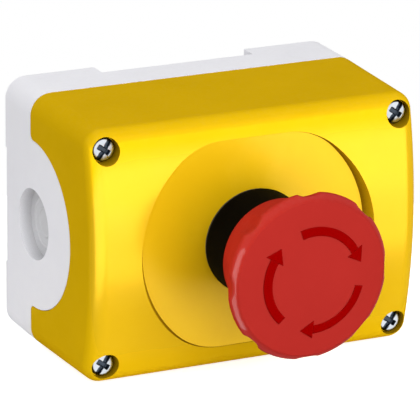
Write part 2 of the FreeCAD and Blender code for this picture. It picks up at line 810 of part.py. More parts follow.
def make_head():
    """Hollow mushroom head with a scalloped rim, a domed face and a hub that turns on the stem."""
    body = new_body("mushroom_head")
    groove = f"({GUIDE_BORE} + ring_groove_depth)"
    groove_front = f"({RING_REAR} + ring_thickness + 2 * fit_clearance)"
    revolve(
        body,
        [
            (f"{HEAD_REAR_RADIUS} - head_wall", HEAD_REAR),
            (HEAD_REAR_RADIUS, HEAD_REAR),
            ("head_radius", f"{RIM_FRONT} - rim_band"),
            ("head_radius", RIM_FRONT),
            (FACE_EDGE_RADIUS, FACE_EDGE, "left", "edge_round"),
            ("0", HEAD_APEX, "left", "dome_radius"),
            ("0", SOCKET_FLOOR),
            (GUIDE_BORE, SOCKET_FLOOR),
            (GUIDE_BORE, groove_front),
            (groove, groove_front),
            (groove, RING_REAR),
            (GUIDE_BORE, RING_REAR),
            (GUIDE_BORE, HUB_REAR),
            (HUB_RADIUS, HUB_REAR),
            (HUB_RADIUS, CAVITY_FLOOR),
            ("head_cavity_radius", CAVITY_FLOOR),
        ],
    )
    scallop_axis = "(head_radius - scallop_depth + scallop_radius)"
    sketch = draw(body, PLANE_FRONT, [circle(scallop_axis, "0", "scallop_radius")], HEAD_APEX)
    scallop = pocket(body, sketch, "head_height")
    pattern = body.newObject("PartDesign::PolarPattern", "rim_scallops")
    pattern.Originals = [scallop]
    pattern.Axis = (sketch, ["N_Axis"])
    pattern.Angle = FULL_CIRCLE
    bind(pattern, "Occurrences", "scallop_count")
    before = volume_of(body)
    body.Tip = pattern
    settle(body, pattern, before, grows=False)
    return body


def make_retaining_ring():
    """Split ring in the grooves of the stem and the hub."""
    body = new_body("head_retaining_ring")
    inner = "(stem_radius - ring_groove_depth / 2 + fit_clearance)"
    outer = f"({GUIDE_BORE} + ring_groove_depth - fit_clearance)"
    rear = f"({RING_REAR} + fit_clearance)"
    front = f"({rear} + ring_thickness)"
    revolve(body, [(inner, rear), (outer, rear), (outer, front), (inner, front)], angle="ring_sweep")
    return body


# Contact assembly behind the lid


def make_contact_holder():
    """Yoke that grips the barrel's end, with two arms that hook the contact blocks."""
    body = new_body("contact_holder")
    plate = centred("barrel_radius + holder_wall", "holder_half_height")
    opening = circle("0", "0", f"{BARREL_BORE} + fit_clearance")
    pad(body, draw(body, PLANE_FRONT, [plate, opening], BLOCK_FRONT), "holder_depth")
    grip = circle("0", "0", "barrel_radius + fit_clearance")
    pocket(body, draw(body, PLANE_FRONT, [grip], f"{BLOCK_FRONT} + holder_depth"), "holder_grip")
    low = "(block_half_height + fit_clearance)"
    high = f"({low} + holder_arm_thickness)"
    half = "holder_arm_width / 2"
    lugs = mirrored_z(minus(half), half, "holder_half_height", high)
    pad(body, draw(body, PLANE_FRONT, lugs, BLOCK_FRONT), "holder_depth")
    arms = mirrored_z(minus(half), half, low, high)
    pad(body, draw(body, PLANE_FRONT, arms, BLOCK_FRONT), "holder_arm_length - holder_depth", reverse=True)
    return body


def make_contact_block(label, axis_x):
    """Moulded housing: guide bore, contact chamber, terminal pockets, strap slots and wire entries."""
    body = new_body(label)
    outer = rectangle(*across(axis_x, "block_width / 2"), "-block_half_height", "block_half_height")
    pad(body, draw(body, PLANE_FRONT, [outer], BLOCK_REAR), f"{BLOCK_FRONT} - {BLOCK_REAR}")
    high = "slider_half_height + slider_clearance"
    guide = rectangle(*across(axis_x, "slider_half_width + slider_clearance"), minus(high), high)
    pocket(body, draw(body, PLANE_FRONT, [guide], BLOCK_FRONT), f"{BLOCK_FRONT} - {CHAMBER_FRONT}")
    chamber = rectangle(*across(axis_x, "chamber_half_width"), "-chamber_half_height", "chamber_half_height")
    pocket(body, draw(body, PLANE_FRONT, [chamber], CHAMBER_FRONT), f"{CHAMBER_FRONT} - {BLOCK_REAR}")
    high = "chamber_half_height + cover_overlap"
    rebate = rectangle(*across(axis_x, "chamber_half_width + fit_clearance"), minus(high), high)
    pocket(body, draw(body, PLANE_FRONT, [rebate], COVER_FRONT), "cover_thickness")
    low = "(terminal_z - terminal_pocket)"
    wells = mirrored_z(*across(axis_x, "terminal_pocket"), low, "terminal_z + terminal_pocket")
    pocket(body, draw(body, PLANE_FRONT, wells, STRAP_FRONT), f"{STRAP_FRONT} - {BLOCK_REAR}")
    slots = mirrored_z(*across(axis_x, "strap_half_width + strap_clearance"), "chamber_half_height", low)
    pocket(body, draw(body, PLANE_FRONT, slots, STRAP_FRONT), "strap_thickness + strap_clearance")
    pilots = at_terminals(axis_x, "terminal_shank_radius + fit_clearance")
    pocket(body, draw(body, PLANE_FRONT, pilots, STRAP_FRONT), "terminal_bite + fit_clearance", reverse=True)
    wire_way = [circle(axis_x, minus(f"{STRAP_REAR} - clamp_thickness"), "wire_entry_radius")]
    wire_run = "block_half_height - terminal_z"
    pocket(body, draw(body, PLANE_TOP, wire_way, "block_half_height"), wire_run)
    pocket(body, draw(body, PLANE_TOP, wire_way, "-block_half_height"), wire_run, reverse=True)
    return body


def make_contact_cover(label, axis_x):
    body = new_body(label)
    high = "chamber_half_height + cover_overlap - fit_clearance"
    plate = rectangle(*across(axis_x, "chamber_half_width"), minus(high), high)
    pad(body, draw(body, PLANE_FRONT, [plate], BLOCK_REAR), "cover_thickness")
    return body


def make_contact_slider(label, axis_x):
    """Push rod with a stop that keeps it in the block and a nose that centres the spring."""
    body = new_body(label)
    slim = ("-slider_half_height", "slider_half_height")
    rod = rectangle(*across(axis_x, "slider_half_width"), *slim)
    front = f"({PRESSER_REAR} - slider_lead)"
    pad(body, draw(body, PLANE_FRONT, [rod], CONTACT_PLANE), f"{front} - {CONTACT_PLANE}")
    stop = rectangle(*across(axis_x, "slider_half_width + slider_stop_width"), *slim)
    stop_front = f"({CHAMBER_FRONT} - slider_lead)"
    pad(body, draw(body, PLANE_FRONT, [stop], f"{stop_front} - slider_stop_length"), "slider_stop_length")
    nose = circle(axis_x, "0", "nose_radius")
    pad(body, draw(body, PLANE_FRONT, [nose], CONTACT_PLANE), "nose_length", reverse=True)
    return body


def make_contact_bridge(label, axis_x):
    """Moving contact bar, pressed forward against the two fixed rivets."""
    body = new_body(label)
    bar = rectangle(*across(axis_x, "bridge_half_width"), "-bridge_half_length", "bridge_half_length")
    hole = circle(axis_x, "0", "nose_radius + fit_clearance")
    pad(body, draw(body, PLANE_FRONT, [bar, hole], f"{CONTACT_PLANE} - bridge_thickness"), "bridge_thickness")
    return body


def make_terminal_straps(label, axis_x):
    """Two fixed straps, each with a contact rivet at its inner end and a screw hole at its outer end."""
    body = new_body(label)
    bars = mirrored_z(*across(axis_x, "strap_half_width"), "strap_inner", "strap_outer")
    holes = at_terminals(axis_x, "terminal_shank_radius + fit_clearance")
    pad(body, draw(body, PLANE_FRONT, bars + holes, STRAP_REAR), "strap_thickness")
    rivet_z = "(strap_inner + rivet_radius)"
    rivets = [circle(axis_x, rivet_z, "rivet_radius"), circle(axis_x, minus(rivet_z), "rivet_radius")]
    pad(body, draw(body, PLANE_FRONT, rivets, CONTACT_PLANE), "rivet_height")
    return body


def make_terminal_clamps(label, axis_x):
    body = new_body(label)
    low = "terminal_z - clamp_half_width"
    plates = mirrored_z(*across(axis_x, "clamp_half_width"), low, "terminal_z + clamp_half_width")
    holes = at_terminals(axis_x, "terminal_shank_radius + fit_clearance")
    pad(body, draw(body, PLANE_FRONT, plates + holes, f"{STRAP_REAR} - clamp_thickness"), "clamp_thickness")
    return body


def make_terminal_screws(label, axis_x):
    body = new_body(label)
    seat = f"({STRAP_REAR} - clamp_thickness)"
    shank = at_terminals(axis_x, "terminal_shank_radius")
    pad(body, draw(body, PLANE_FRONT, shank, seat), "clamp_thickness + strap_thickness + terminal_bite")
    heads = at_terminals(axis_x, "terminal_head_radius")
    pad(body, draw(body, PLANE_FRONT, heads, seat), "terminal_head_height", reverse=True)
    return body


def make_contact_set(side, axis_x):
    """One contact element: housing, cover, moving and fixed contacts, spring and terminals."""
    spring_seat = f"({CONTACT_PLANE} - bridge_thickness)"
    spring = coil(
        f"contact_spring_{side}",
        "contact_coil_radius",
        "contact_half_wire",
        COVER_FRONT,
        spring_seat,
        "contact_turns",
        axis_x,
    )
    return [
        make_contact_block(f"contact_block_{side}", axis_x),
        make_contact_cover(f"contact_cover_{side}", axis_x),
        make_contact_slider(f"contact_slider_{side}", axis_x),
        make_contact_bridge(f"contact_bridge_{side}", axis_x),
        make_terminal_straps(f"terminal_straps_{side}", axis_x),
        make_terminal_clamps(f"terminal_clamps_{side}", axis_x),
        make_terminal_screws(f"terminal_screws_{side}", axis_x),
        spring,
    ]


def make_case():
    groove = seal_solid("seal_groove", "seal_clearance")
    return [
        boolean("base_shell", "Cut", make_base(), groove),
        boolean("lid_shell", "Cut", make_lid(), groove),
        seal_solid("lid_seal", "0"),
        make_lid_screws(),
    ]


def make_actuator():
    gasket_outer = f"({COLLAR_RADIUS} - gasket_inset)"
    gasket_inner = f"({gasket_outer} - gasket_width)"
    wiper_bore = "(stem_radius + stem_clearance / 2)"
    return [
        make_collar(),
        ring("panel_gasket", gasket_inner, gasket_outer, DISH_FLOOR, f"{DISH_FLOOR} + gasket_thickness"),
        make_lock_nut(),
        ring("stem_seal", wiper_bore, SEAL_SEAT_RADIUS, WEB_FRONT, f"{WEB_FRONT} + wiper_thickness"),
        make_stem(),
        make_latch_clip(),
        coil("trip_spring", TRIP_COIL_RADIUS, "trip_half_wire", FLANGE_FRONT, WEB_REAR, "trip_turns"),
        make_head(),
        make_retaining_ring(),
        coil(
            "twist_spring",
            f"{HUB_RADIUS} + twist_half_wire + stem_clearance",
            "twist_half_wire",
            HUB_REAR,
            CAVITY_FLOOR,
            "twist_turns",
        ),
    ]


def check(nodes):
    """Stop before anything is written if an object failed or a node has no sound solid."""
    document.recompute()
    for thing in document.Objects:
        if "Invalid" in thing.State or "Error" in thing.State:
            raise RuntimeError(f"{thing.Label} failed: {thing.State}")
    for node in nodes:
        if node.Shape.isNull() or not node.Shape.isValid() or not node.Shape.Solids:
            raise RuntimeError(f"{node.Label} has no valid solid")


def main():
    block_axis = "((block_width + block_gap) / 2)"
    nodes = make_case() + make_actuator() + [make_contact_holder()]
    nodes += make_contact_set("left", minus(block_axis))
    nodes += make_contact_set("right", block_axis)
    check(nodes)
    os.makedirs("parts", exist_ok=True)
    for node in nodes:
        node.Shape.exportStep(f"parts/{node.Label}.step")
        print(f"{node.Label:24s} {len(node.Shape.Solids)} solid(s) {node.Shape.Volume:10.1f} mm3")


main()
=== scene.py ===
# %% [markdown]
# # A stop button in its box
# A red mushroom head stands in the dish of a yellow lid, and the lid is screwed to a light grey
# base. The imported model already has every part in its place, so this lesson adds finishes, light
# and the few shapes that a machined model leaves plain: the head's soft edge, its arrows, the
# screw heads, the rings in the cable entries and the springs.

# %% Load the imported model
import math

import bpy
import numpy as np
from mathutils import Matrix


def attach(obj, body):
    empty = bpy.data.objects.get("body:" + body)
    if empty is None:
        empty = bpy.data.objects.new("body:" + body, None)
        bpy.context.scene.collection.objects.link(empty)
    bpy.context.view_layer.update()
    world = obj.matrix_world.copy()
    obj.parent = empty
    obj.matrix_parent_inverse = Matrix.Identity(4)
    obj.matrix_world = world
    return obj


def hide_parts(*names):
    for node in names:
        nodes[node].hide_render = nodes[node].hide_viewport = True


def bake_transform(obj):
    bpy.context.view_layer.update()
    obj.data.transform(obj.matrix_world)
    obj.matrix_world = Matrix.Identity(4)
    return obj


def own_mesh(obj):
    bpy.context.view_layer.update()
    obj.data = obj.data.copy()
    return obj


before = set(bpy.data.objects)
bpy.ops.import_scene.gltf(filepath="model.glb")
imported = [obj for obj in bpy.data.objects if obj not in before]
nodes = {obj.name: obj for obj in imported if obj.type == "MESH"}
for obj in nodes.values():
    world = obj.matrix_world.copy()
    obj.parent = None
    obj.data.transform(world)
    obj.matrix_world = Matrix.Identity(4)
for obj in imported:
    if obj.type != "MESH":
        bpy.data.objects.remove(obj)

MM = 0.001
scene = bpy.context.scene
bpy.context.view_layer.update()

# %% [markdown]
# ## The camera
# A product picture is taken from far away with a long lens, so that the box's edges stay nearly
# parallel. The camera stands to the left of the front and a little above, and it is turned a
# trace about its own axis. Three unit vectors say where its right, top and back point, and the
# camera's matrix is made of them.

# %% Camera
CAMERA_AZIMUTH = math.radians(25.575)
CAMERA_ELEVATION = math.radians(18.425)
CAMERA_ROLL = math.radians(0.714)
CAMERA_DISTANCE = 964.0 * MM
CAMERA_RIGHT_SHIFT = 10.162 * MM
CAMERA_UP_SHIFT = -6.908 * MM
LENS_MM = 337.8
SENSOR_MM = 36.0


def camera_axes(azimuth, elevation, roll):
    """Right, up and back of a camera; back points away from the object, and roll turns about it."""
    level = math.cos(elevation)
    ahead, aside = -math.cos(azimuth) * level, -math.sin(azimuth) * level
    back = np.array([aside, ahead, math.sin(elevation)])
    flat_right = np.array([math.cos(azimuth), -math.sin(azimuth), 0.0])
    flat_up = np.cross(back, flat_right)
    right = flat_right * math.cos(roll) + flat_up * math.sin(roll)
    return right, np.cross(back, right), back


def stand_at(thing, axes, place):
    """A camera or lamp at a place in metres, its own x, y and z along three unit vectors."""
    pose = np.eye(4)
    pose[:3, :4] = np.column_stack([*axes, place])
    thing.matrix_world = Matrix(pose)


right, up, back = camera_axes(CAMERA_AZIMUTH, CAMERA_ELEVATION, CAMERA_ROLL)
stand = back * CAMERA_DISTANCE + right * CAMERA_RIGHT_SHIFT + up * CAMERA_UP_SHIFT
camera_data = bpy.data.cameras.new("camera")
camera_data.lens = LENS_MM
camera_data.sensor_width = SENSOR_MM
camera = bpy.data.objects.new("camera", camera_data)
scene.collection.objects.link(camera)
stand_at(camera, (right, up, back), stand)
scene.camera = camera
print("camera stands", round(CAMERA_DISTANCE / MM), "mm away, at", np.round(stand / MM, 1))

# %% [markdown]
# ## Surfaces from arrays
# Each new piece is a grid of points: one parameter runs along the rows and the other along the
# columns. The helpers below turn such a grid into quads, close a turned shape at its axis and put
# the result into a mesh. Whole arrays are moved at once, so no loop goes over single points.

# %% Helpers for grids
SHARP_ANGLE = math.radians(38)


def grid_quads(rows, columns, closed):
    """Quads between neighbours of a grid; closed joins the last column to the first."""
    number = np.arange(rows * columns).reshape(rows, columns)
    ahead = np.roll(number, -1, axis=1)
    quads = np.stack([number[:-1], ahead[:-1], ahead[1:], number[1:]], axis=-1)
    return (quads if closed else quads[:, :-1]).reshape(-1, 4)


def fan(ring, tip, flip):
    """Triangles from each side of a closed ring of point numbers to one tip."""
    ahead = np.roll(ring, -1)
    tips = np.full_like(ring, tip)
    return np.stack([ahead, ring, tips] if flip else [ring, ahead, tips], axis=-1)


def turned_faces(rings, steps):
    """Faces of a turned shape: quads between its rings, and a fan to the tip at each end."""
    first_tip, last_tip = rings * steps, rings * steps + 1
    ends = [fan(np.arange(steps), first_tip, False)]
    ends.append(fan(np.arange(steps) + (rings - 1) * steps, last_tip, True))
    return grid_quads(rings, steps, True)[:, ::-1].tolist() + np.concatenate(ends).tolist()


def mesh_piece(name, points, faces, body):
    """A smooth mesh, crisp where its faces turn sharply, riding on a body if one is named."""
    mesh = bpy.data.meshes.new(name)
    mesh.from_pydata(np.asarray(points, float).reshape(-1, 3).tolist(), [], faces)
    mesh.update()
    mesh.polygons.foreach_set("use_smooth", np.ones(len(mesh.polygons), bool))
    mesh.set_sharp_from_angle(angle=SHARP_ANGLE)
    piece = bpy.data.objects.new(name, mesh)
    scene.collection.objects.link(piece)
    if body:
        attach(piece, body)
    print(name, "has", len(mesh.vertices), "points and", len(mesh.polygons), "faces")
    return piece


def keep_values(piece, name, values):
    """One number for each point of a mesh, kept under a name that a finish can read."""
    attribute = piece.data.attributes.new(name, "FLOAT", "POINT")
    attribute.data.foreach_set("value", values)


print("an edge is crisp from", round(math.degrees(SHARP_ANGLE)), "degrees on")

# %% [markdown]
# ## Profiles
# The head and the discs in the cable entries are turned shapes. A profile is a chain of straight
# runs and arcs, given as radius and forward place in millimetres. It could be drawn as a curve
# and spun, but as an array it can be bent afterwards, which the scalloped rim needs.

# %% Runs and arcs of a profile


def run(start, end, count):
    """Points on a straight line, its start left out: start + share * (end - start)."""
    share = np.linspace(0, 1, count + 1)[1:, None]
    return np.asarray(start, float) + share * (np.asarray(end, float) - np.asarray(start, float))


def arc(centre, radius, first, last, count):
    """Points on a circle between two angles in degrees, measured from the axis outwards."""
    angle = np.radians(np.linspace(first, last, count))
    return np.column_stack([centre[0] + radius * np.sin(angle), centre[1] + radius * np.cos(angle)])


def smooth_step(low, high, value):
    """0 below low, 1 above high, and the cubic 3s^2 - 2s^3 of the share s between them."""
    share = np.clip((value - low) / (high - low), 0, 1)
    return share * share * (3 - 2 * share)


print("a quarter of the way up, a smooth step is at", smooth_step(0, 1, 0.25))

# %% [markdown]
# ## The mushroom head
# The head is moulded in one piece: a slightly domed face, a narrow bevel, a rounded rim, a flank
# that narrows in a faint hollow to the collar, and a cavity underneath with a hub for the stem.
# Eight shallow scallops behind the bevel give the fingers a hold. A boolean cut would leave a
# sharp edge round each scallop. Here the radius itself dips, so the rim runs through every
# scallop in one soft line, as it does on a moulded head. Hands polish the outer part of the
# bevel, so the profile's lean and radius mark that line as an attribute, and the finish reads it.

# %% Head profile
HEAD_APEX = 80.1
HEAD_REAR = 60.2
HEAD_RADIUS = 20.0
DOME_RADIUS = 72.3
FIRST_RADIUS = 0.6
FACE_EDGE = 18.25
CREASE_ROUND = 0.6
BEVEL_LEAN = 43.0
RIM_ROUND = 1.5
FLANK_LEAN = 116.0
FLANK_HOLLOW = 0.4
REAR_RADIUS = 14.05
LIP_ROUND = 0.3
HEAD_WALL = 0.9
CAVITY_RADIUS = 15.4
CAVITY_FLOOR = 69.2
HUB_RADIUS = 8.0
HUB_REAR = 67.0
SOCKET_RADIUS = 6.2
SOCKET_FLOOR = 73.2
GROOVE_RADIUS = 7.1
GROOVE_REAR = 70.2
GROOVE_FRONT = 71.3
FACE_POINTS = 28
CREASE_POINTS = 7
BEVEL_POINTS = 8
RIM_POINTS = 18
FLANK_POINTS = 20
LIP_POINTS = 5
INNER_POINTS = (2, 8, 6, 3, 2, 3, 2, 2, 2, 2, 4)


def dome_front(radius):
    """Forward place of the face: the apex less the sag of a large sphere at that radius."""
    return HEAD_APEX - DOME_RADIUS + np.sqrt(DOME_RADIUS**2 - radius**2)


def outer_profile():
    """Face, crease, bevel, rim round, hollow flank and lip; each starts where the last one ends."""
    lean, bevel_lean = math.asin(FACE_EDGE / DOME_RADIUS), math.radians(BEVEL_LEAN)
    inner = DOME_RADIUS - CREASE_ROUND
    crease_centre = (inner * math.sin(lean), HEAD_APEX - DOME_RADIUS + inner * math.cos(lean))
    face_radius = np.linspace(FIRST_RADIUS, FACE_EDGE, FACE_POINTS)
    face = np.column_stack([face_radius, dome_front(face_radius)])
    crease = arc(crease_centre, CREASE_ROUND, math.degrees(lean), BEVEL_LEAN, CREASE_POINTS)[1:]
    bevel_end = HEAD_RADIUS - RIM_ROUND + RIM_ROUND * math.sin(bevel_lean)
    bevel_drop = (bevel_end - crease[-1, 0]) * math.tan(bevel_lean)
    bevel = run(crease[-1], (bevel_end, crease[-1, 1] - bevel_drop), BEVEL_POINTS)
    rim_centre = (HEAD_RADIUS - RIM_ROUND, bevel[-1, 1] - RIM_ROUND * math.cos(bevel_lean))
    rim = arc(rim_centre, RIM_ROUND, BEVEL_LEAN, FLANK_LEAN, RIM_POINTS)[1:]
    flank = run(rim[-1], (REAR_RADIUS, HEAD_REAR + LIP_ROUND), FLANK_POINTS)
    flank[:, 0] -= FLANK_HOLLOW * np.sin(np.linspace(0, np.pi, FLANK_POINTS + 1)[1:])
    lip_centre = (REAR_RADIUS - LIP_ROUND, HEAD_REAR + LIP_ROUND)
    lip = arc(lip_centre, LIP_ROUND, 90, 180, LIP_POINTS)[1:]
    return np.concatenate([face, crease, bevel, rim, flank, lip])


def inner_profile(start):
    """Cavity, hub, and the stem's socket with the groove of its ring, from the rear lip inwards."""
    corners = [start, (REAR_RADIUS - HEAD_WALL, HEAD_REAR), (CAVITY_RADIUS, CAVITY_FLOOR)]
    corners += [(HUB_RADIUS, CAVITY_FLOOR), (HUB_RADIUS, HUB_REAR), (SOCKET_RADIUS, HUB_REAR)]
    corners += [(SOCKET_RADIUS, GROOVE_REAR), (GROOVE_RADIUS, GROOVE_REAR)]
    corners += [(GROOVE_RADIUS, GROOVE_FRONT), (SOCKET_RADIUS, GROOVE_FRONT)]
    corners += [(SOCKET_RADIUS, SOCKET_FLOOR), (FIRST_RADIUS, SOCKET_FLOOR)]
    return np.concatenate([run(a, b, n) for a, b, n in zip(corners, corners[1:], INNER_POINTS)])


outside = outer_profile()
inside = inner_profile(outside[-1])
print("head profile:", len(outside), "points outside,", len(inside), "inside")

# %% Scalloped head
SCALLOPS = 8
SCALLOP_DEPTH = 1.0
SCALLOP_HALF_ANGLE = 8.2
DIP_START = 2.8
DIP_FULL = 4.8
DIP_FADE = 9.0
HEAD_STEPS = 360
POLISH_RISE = (22, 40)
POLISH_FALL = (52, 76)
POLISH_INNER = (18.7, 19.1)


def scallop_dip(turn):
    """Depth of the scallops: a parabola about each of the eight places, nothing between them."""
    spacing = 360 / SCALLOPS
    off = np.abs((turn + spacing / 2) % spacing - spacing / 2)
    return SCALLOP_DEPTH * np.clip(1 - (off / SCALLOP_HALF_ANGLE) ** 2, 0, 1)


def rim_weight(profile):
    """Share of the dip: none on the face, full behind the rim, fading down the flank."""
    rim = HEAD_APEX - profile[:, 1]
    grows = smooth_step(DIP_START, DIP_FULL, rim)
    fades = 1 - smooth_step(DIP_FADE, HEAD_APEX - HEAD_REAR, rim)
    return grows * fades


def head_points():
    """Profile turned about the button's axis; the radius is less by the scallops' dip."""
    turn = np.linspace(0, 360, HEAD_STEPS, endpoint=False)
    dips = rim_weight(outside)[:, None] * scallop_dip(turn)[None, :]
    inner_radius = np.repeat(inside[:, :1], HEAD_STEPS, axis=1)
    radius = np.concatenate([outside[:, :1] - dips, inner_radius])
    front = np.concatenate([outside[:, 1], inside[:, 1]])
    angle = np.radians(turn)
    x, z = radius * np.cos(angle), radius * np.sin(angle)
    y = np.broadcast_to(-front[:, None], x.shape)
    tips = [[0, -HEAD_APEX, 0], [0, -SOCKET_FLOOR, 0]]
    return np.concatenate([np.stack([x, y, z], axis=-1).reshape(-1, 3), tips]) * MM


def profile_lean(profile):
    """Degrees between the surface and facing forward: atan2(-d forward, d radius)."""
    step = np.gradient(profile, axis=0)
    return np.degrees(np.arctan2(-step[:, 1], step[:, 0]))


head_faces = turned_faces(len(outside) + len(inside), HEAD_STEPS)
stop_head = mesh_piece("stop_head", head_points(), head_faces, "head")
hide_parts("mushroom_head")
lean = profile_lean(outside)
band = smooth_step(*POLISH_RISE, lean) * (1 - smooth_step(*POLISH_FALL, lean))
band = band * smooth_step(*POLISH_INNER, outside[:, 0])
rim_share = np.zeros(len(stop_head.data.vertices), np.float32)
rim_share[: len(outside) * HEAD_STEPS] = np.repeat(band, HEAD_STEPS)
keep_values(stop_head, "rim_share", rim_share)

# %% [markdown]
# ## The turning arrows
# Three arrows on the face show which way the head turns to let go. On the real head they are a
# dark print in shallow marks. Each shaft is a strip along a circle: one parameter runs from the
# tail to the head and the other runs across. The arrow's head is a straight triangle along the
# tangent, its width stepping out to the barbs and closing to the tip. The strip follows the dome,
# so it lies on the face from every side, and a Solidify modifier gives it a trace of thickness.

# %% Arrows
ARROW_RADIUS = 11.75
ARROW_START = 106.6
ARROW_SWEEP = 77.2
ARROW_HEAD = 3.25
ARROW_TIP_SHARE = 0.995
ARROW_HALF_STROKE = 1.04
ARROW_HALF_BARB = 2.25
ARROW_PROUD = 0.03
ARROW_THICKNESS = 0.12
ARROW_COUNT = 3
SHAFT_ROWS = 48
HEAD_ROWS = 16
ARROW_ACROSS = 7


def arrow_strip(start):
    """Shaft: radius = ring + v * half stroke. Head: a triangle along the tangent at its end."""
    across = np.linspace(-1, 1, ARROW_ACROSS)[None, :]
    angle = np.radians(start - np.linspace(0, ARROW_SWEEP, SHAFT_ROWS))[:, None]
    radius = ARROW_RADIUS + ARROW_HALF_STROKE * across
    shaft = np.stack([radius * np.cos(angle), radius * np.sin(angle)], axis=-1)
    out = np.array([np.cos(angle[-1, 0]), np.sin(angle[-1, 0])])
    onward = np.array([out[1], -out[0]])
    share = np.linspace(0, ARROW_TIP_SHARE, HEAD_ROWS)[:, None]
    reach = (ARROW_HEAD * share)[..., None] * onward
    spread = (ARROW_RADIUS + ARROW_HALF_BARB * (1 - share) * across)[..., None] * out
    flat = np.concatenate([shaft, reach + spread])
    front = dome_front(np.linalg.norm(flat, axis=-1)) + ARROW_PROUD
    return np.stack([flat[..., 0], -front, flat[..., 1]], axis=-1)


def arrow_faces():
    """Quads of shaft and head, without the strip of no length where the width steps out."""
    rows = SHAFT_ROWS + HEAD_ROWS
    quads = grid_quads(rows, ARROW_ACROSS, False).reshape(rows - 1, ARROW_ACROSS - 1, 4)
    return np.delete(quads, SHAFT_ROWS - 1, axis=0).reshape(-1, 4)


starts = [ARROW_START - 360 / ARROW_COUNT * k for k in range(ARROW_COUNT)]
strips = np.stack([arrow_strip(start) for start in starts]).reshape(ARROW_COUNT, -1, 3)
faces = np.concatenate([arrow_faces() + k * strips.shape[1] for k in range(ARROW_COUNT)])
head_arrows = mesh_piece("head_arrows", strips * MM, faces.tolist(), "head")
wall = head_arrows.modifiers.new("thickness", "SOLIDIFY")
wall.thickness = ARROW_THICKNESS * MM
wall.offset = -1

# %% [markdown]
# ## The lid screws
# Four plated screws hold the lid. Each has a low round head with a straight slot and a shorter
# cross arm, so that either driver fits. The top of the head is a height field: a square grid is
# squeezed into a disc, the height falls away at the rounded edge, and the driver recess is
# pressed into it with steep smooth walls. The recess, the rounded edge and the side below it get
# a painted shade of dark zinc, so where that is comes along as an attribute. Below the head the
# grid's outline is carried down to the shank, whose radius follows a helix for the thread.

# %% Screw head
SCREW_X = 37.7
SCREW_Z = 26.2
SCREW_TOP = 46.084
SCREW_SEAT = 44.184
SCREW_TIP = 6.2
SCREW_RADIUS = 2.9
DOME_DROP = 0.28
EDGE_DROP = 0.55
EDGE_START = 0.72
SLOT_TURN = 55.0
SLOT_HALF_WIDTH = 0.55
SLOT_DEPTH = 0.8
CROSS_HALF_WIDTH = 0.56
CROSS_HALF_LENGTH = 1.75
CROSS_DEPTH = 1.15
RECESS_WALL = 0.07
ARM_END_SLOPE = 0.35
CONE_RADII = (0.3, 0.95)
SHADED_EDGE = (0.82, 0.96)
SCREW_GRID = 57


def disc_grid(count):
    """Square grid squeezed into a unit disc: x = u sqrt(1 - v^2/2) and y = v sqrt(1 - u^2/2)."""
    side = np.linspace(-1, 1, count)
    u, v = np.meshgrid(side, side, indexing="ij")
    return u * np.sqrt(1 - v**2 / 2), v * np.sqrt(1 - u**2 / 2)


def within(half_width, value, slope=RECESS_WALL):
    """1 inside a half width and 0 outside it, by a smooth step that begins a slope before it."""
    return 1 - smooth_step(half_width - slope, half_width + RECESS_WALL, np.abs(value))


def recess(along, across):
    """Depth of the driver recess: the deepest of the slot, the cross arm and a middle cone."""
    slot = SLOT_DEPTH * within(SLOT_HALF_WIDTH, across)
    arm_end = within(CROSS_HALF_LENGTH, across, ARM_END_SLOPE)
    arm = CROSS_DEPTH * within(CROSS_HALF_WIDTH, along) * arm_end
    cone = CROSS_DEPTH * (1 - smooth_step(*CONE_RADII, np.hypot(along, across)))
    return np.maximum.reduce([slot, arm, cone])


def screw_top():
    """Points and painted shade share of one head: a low dome, a quarter-ellipse edge and the
    recess.
    """
    x, y = disc_grid(SCREW_GRID)
    share = np.clip(np.hypot(x, y), 0, 1)
    past = np.clip((share - EDGE_START) / (1 - EDGE_START), 0, 1)
    along, across = x * SCREW_RADIUS, y * SCREW_RADIUS
    depth = recess(along, across)
    drop = DOME_DROP * share**2 + EDGE_DROP * (1 - np.sqrt(1 - past**2))
    turn = math.radians(SLOT_TURN)
    px = along * math.cos(turn) - across * math.sin(turn)
    pz = along * math.sin(turn) + across * math.cos(turn)
    # Painted shade: darkest in the deep recess and towards the rim.
    dull = np.maximum(depth / CROSS_DEPTH, smooth_step(*SHADED_EDGE, share))
    return np.stack([px, depth + drop - SCREW_TOP, pz], axis=-1), dull


top, top_shade = screw_top()
print("screw head recess is", round(float(np.ptp(top[..., 1])), 2), "mm deep in all")

# %% Screw shank and the four screws
SHANK_RADIUS = 1.45
PLAIN_SHANK = 12.0
THREAD_DEPTH = 0.28
THREAD_PITCH = 1.6
THREAD_RUNOUT = 1.0
THREAD_ROWS = 84
POINT_LENGTH = 1.2
POINT_SHARE = 0.55


def outline_numbers(count):
    """Point numbers once round the border of a count-by-count grid."""
    number = np.arange(count * count).reshape(count, count)
    return np.concatenate([number[:-1, 0], number[-1, :-1], number[:0:-1, -1], number[0, :0:-1]])


def shank_rings(border):
    """Border of the head carried down to the seat, in to the shank, and along the thread."""
    angle = np.arctan2(border[:, 2], border[:, 0])
    first = SCREW_SEAT - PLAIN_SHANK
    thread = np.linspace(first, SCREW_TIP + POINT_LENGTH, THREAD_ROWS)
    place = np.concatenate([[SCREW_SEAT, SCREW_SEAT], thread, [SCREW_TIP]])
    plain = np.full(len(place), SHANK_RADIUS)
    plain[0], plain[-1] = SCREW_RADIUS, SHANK_RADIUS * POINT_SHARE
    wave = (1 - np.cos(2 * np.pi * place[:, None] / THREAD_PITCH - angle[None, :])) / 2
    cut = smooth_step(first, first - THREAD_RUNOUT, place) * (plain == SHANK_RADIUS)
    radius = plain[:, None] - THREAD_DEPTH * cut[:, None] * wave
    y = np.broadcast_to(-place[:, None], radius.shape)
    return np.stack([radius * np.cos(angle), y, radius * np.sin(angle)], axis=-1)


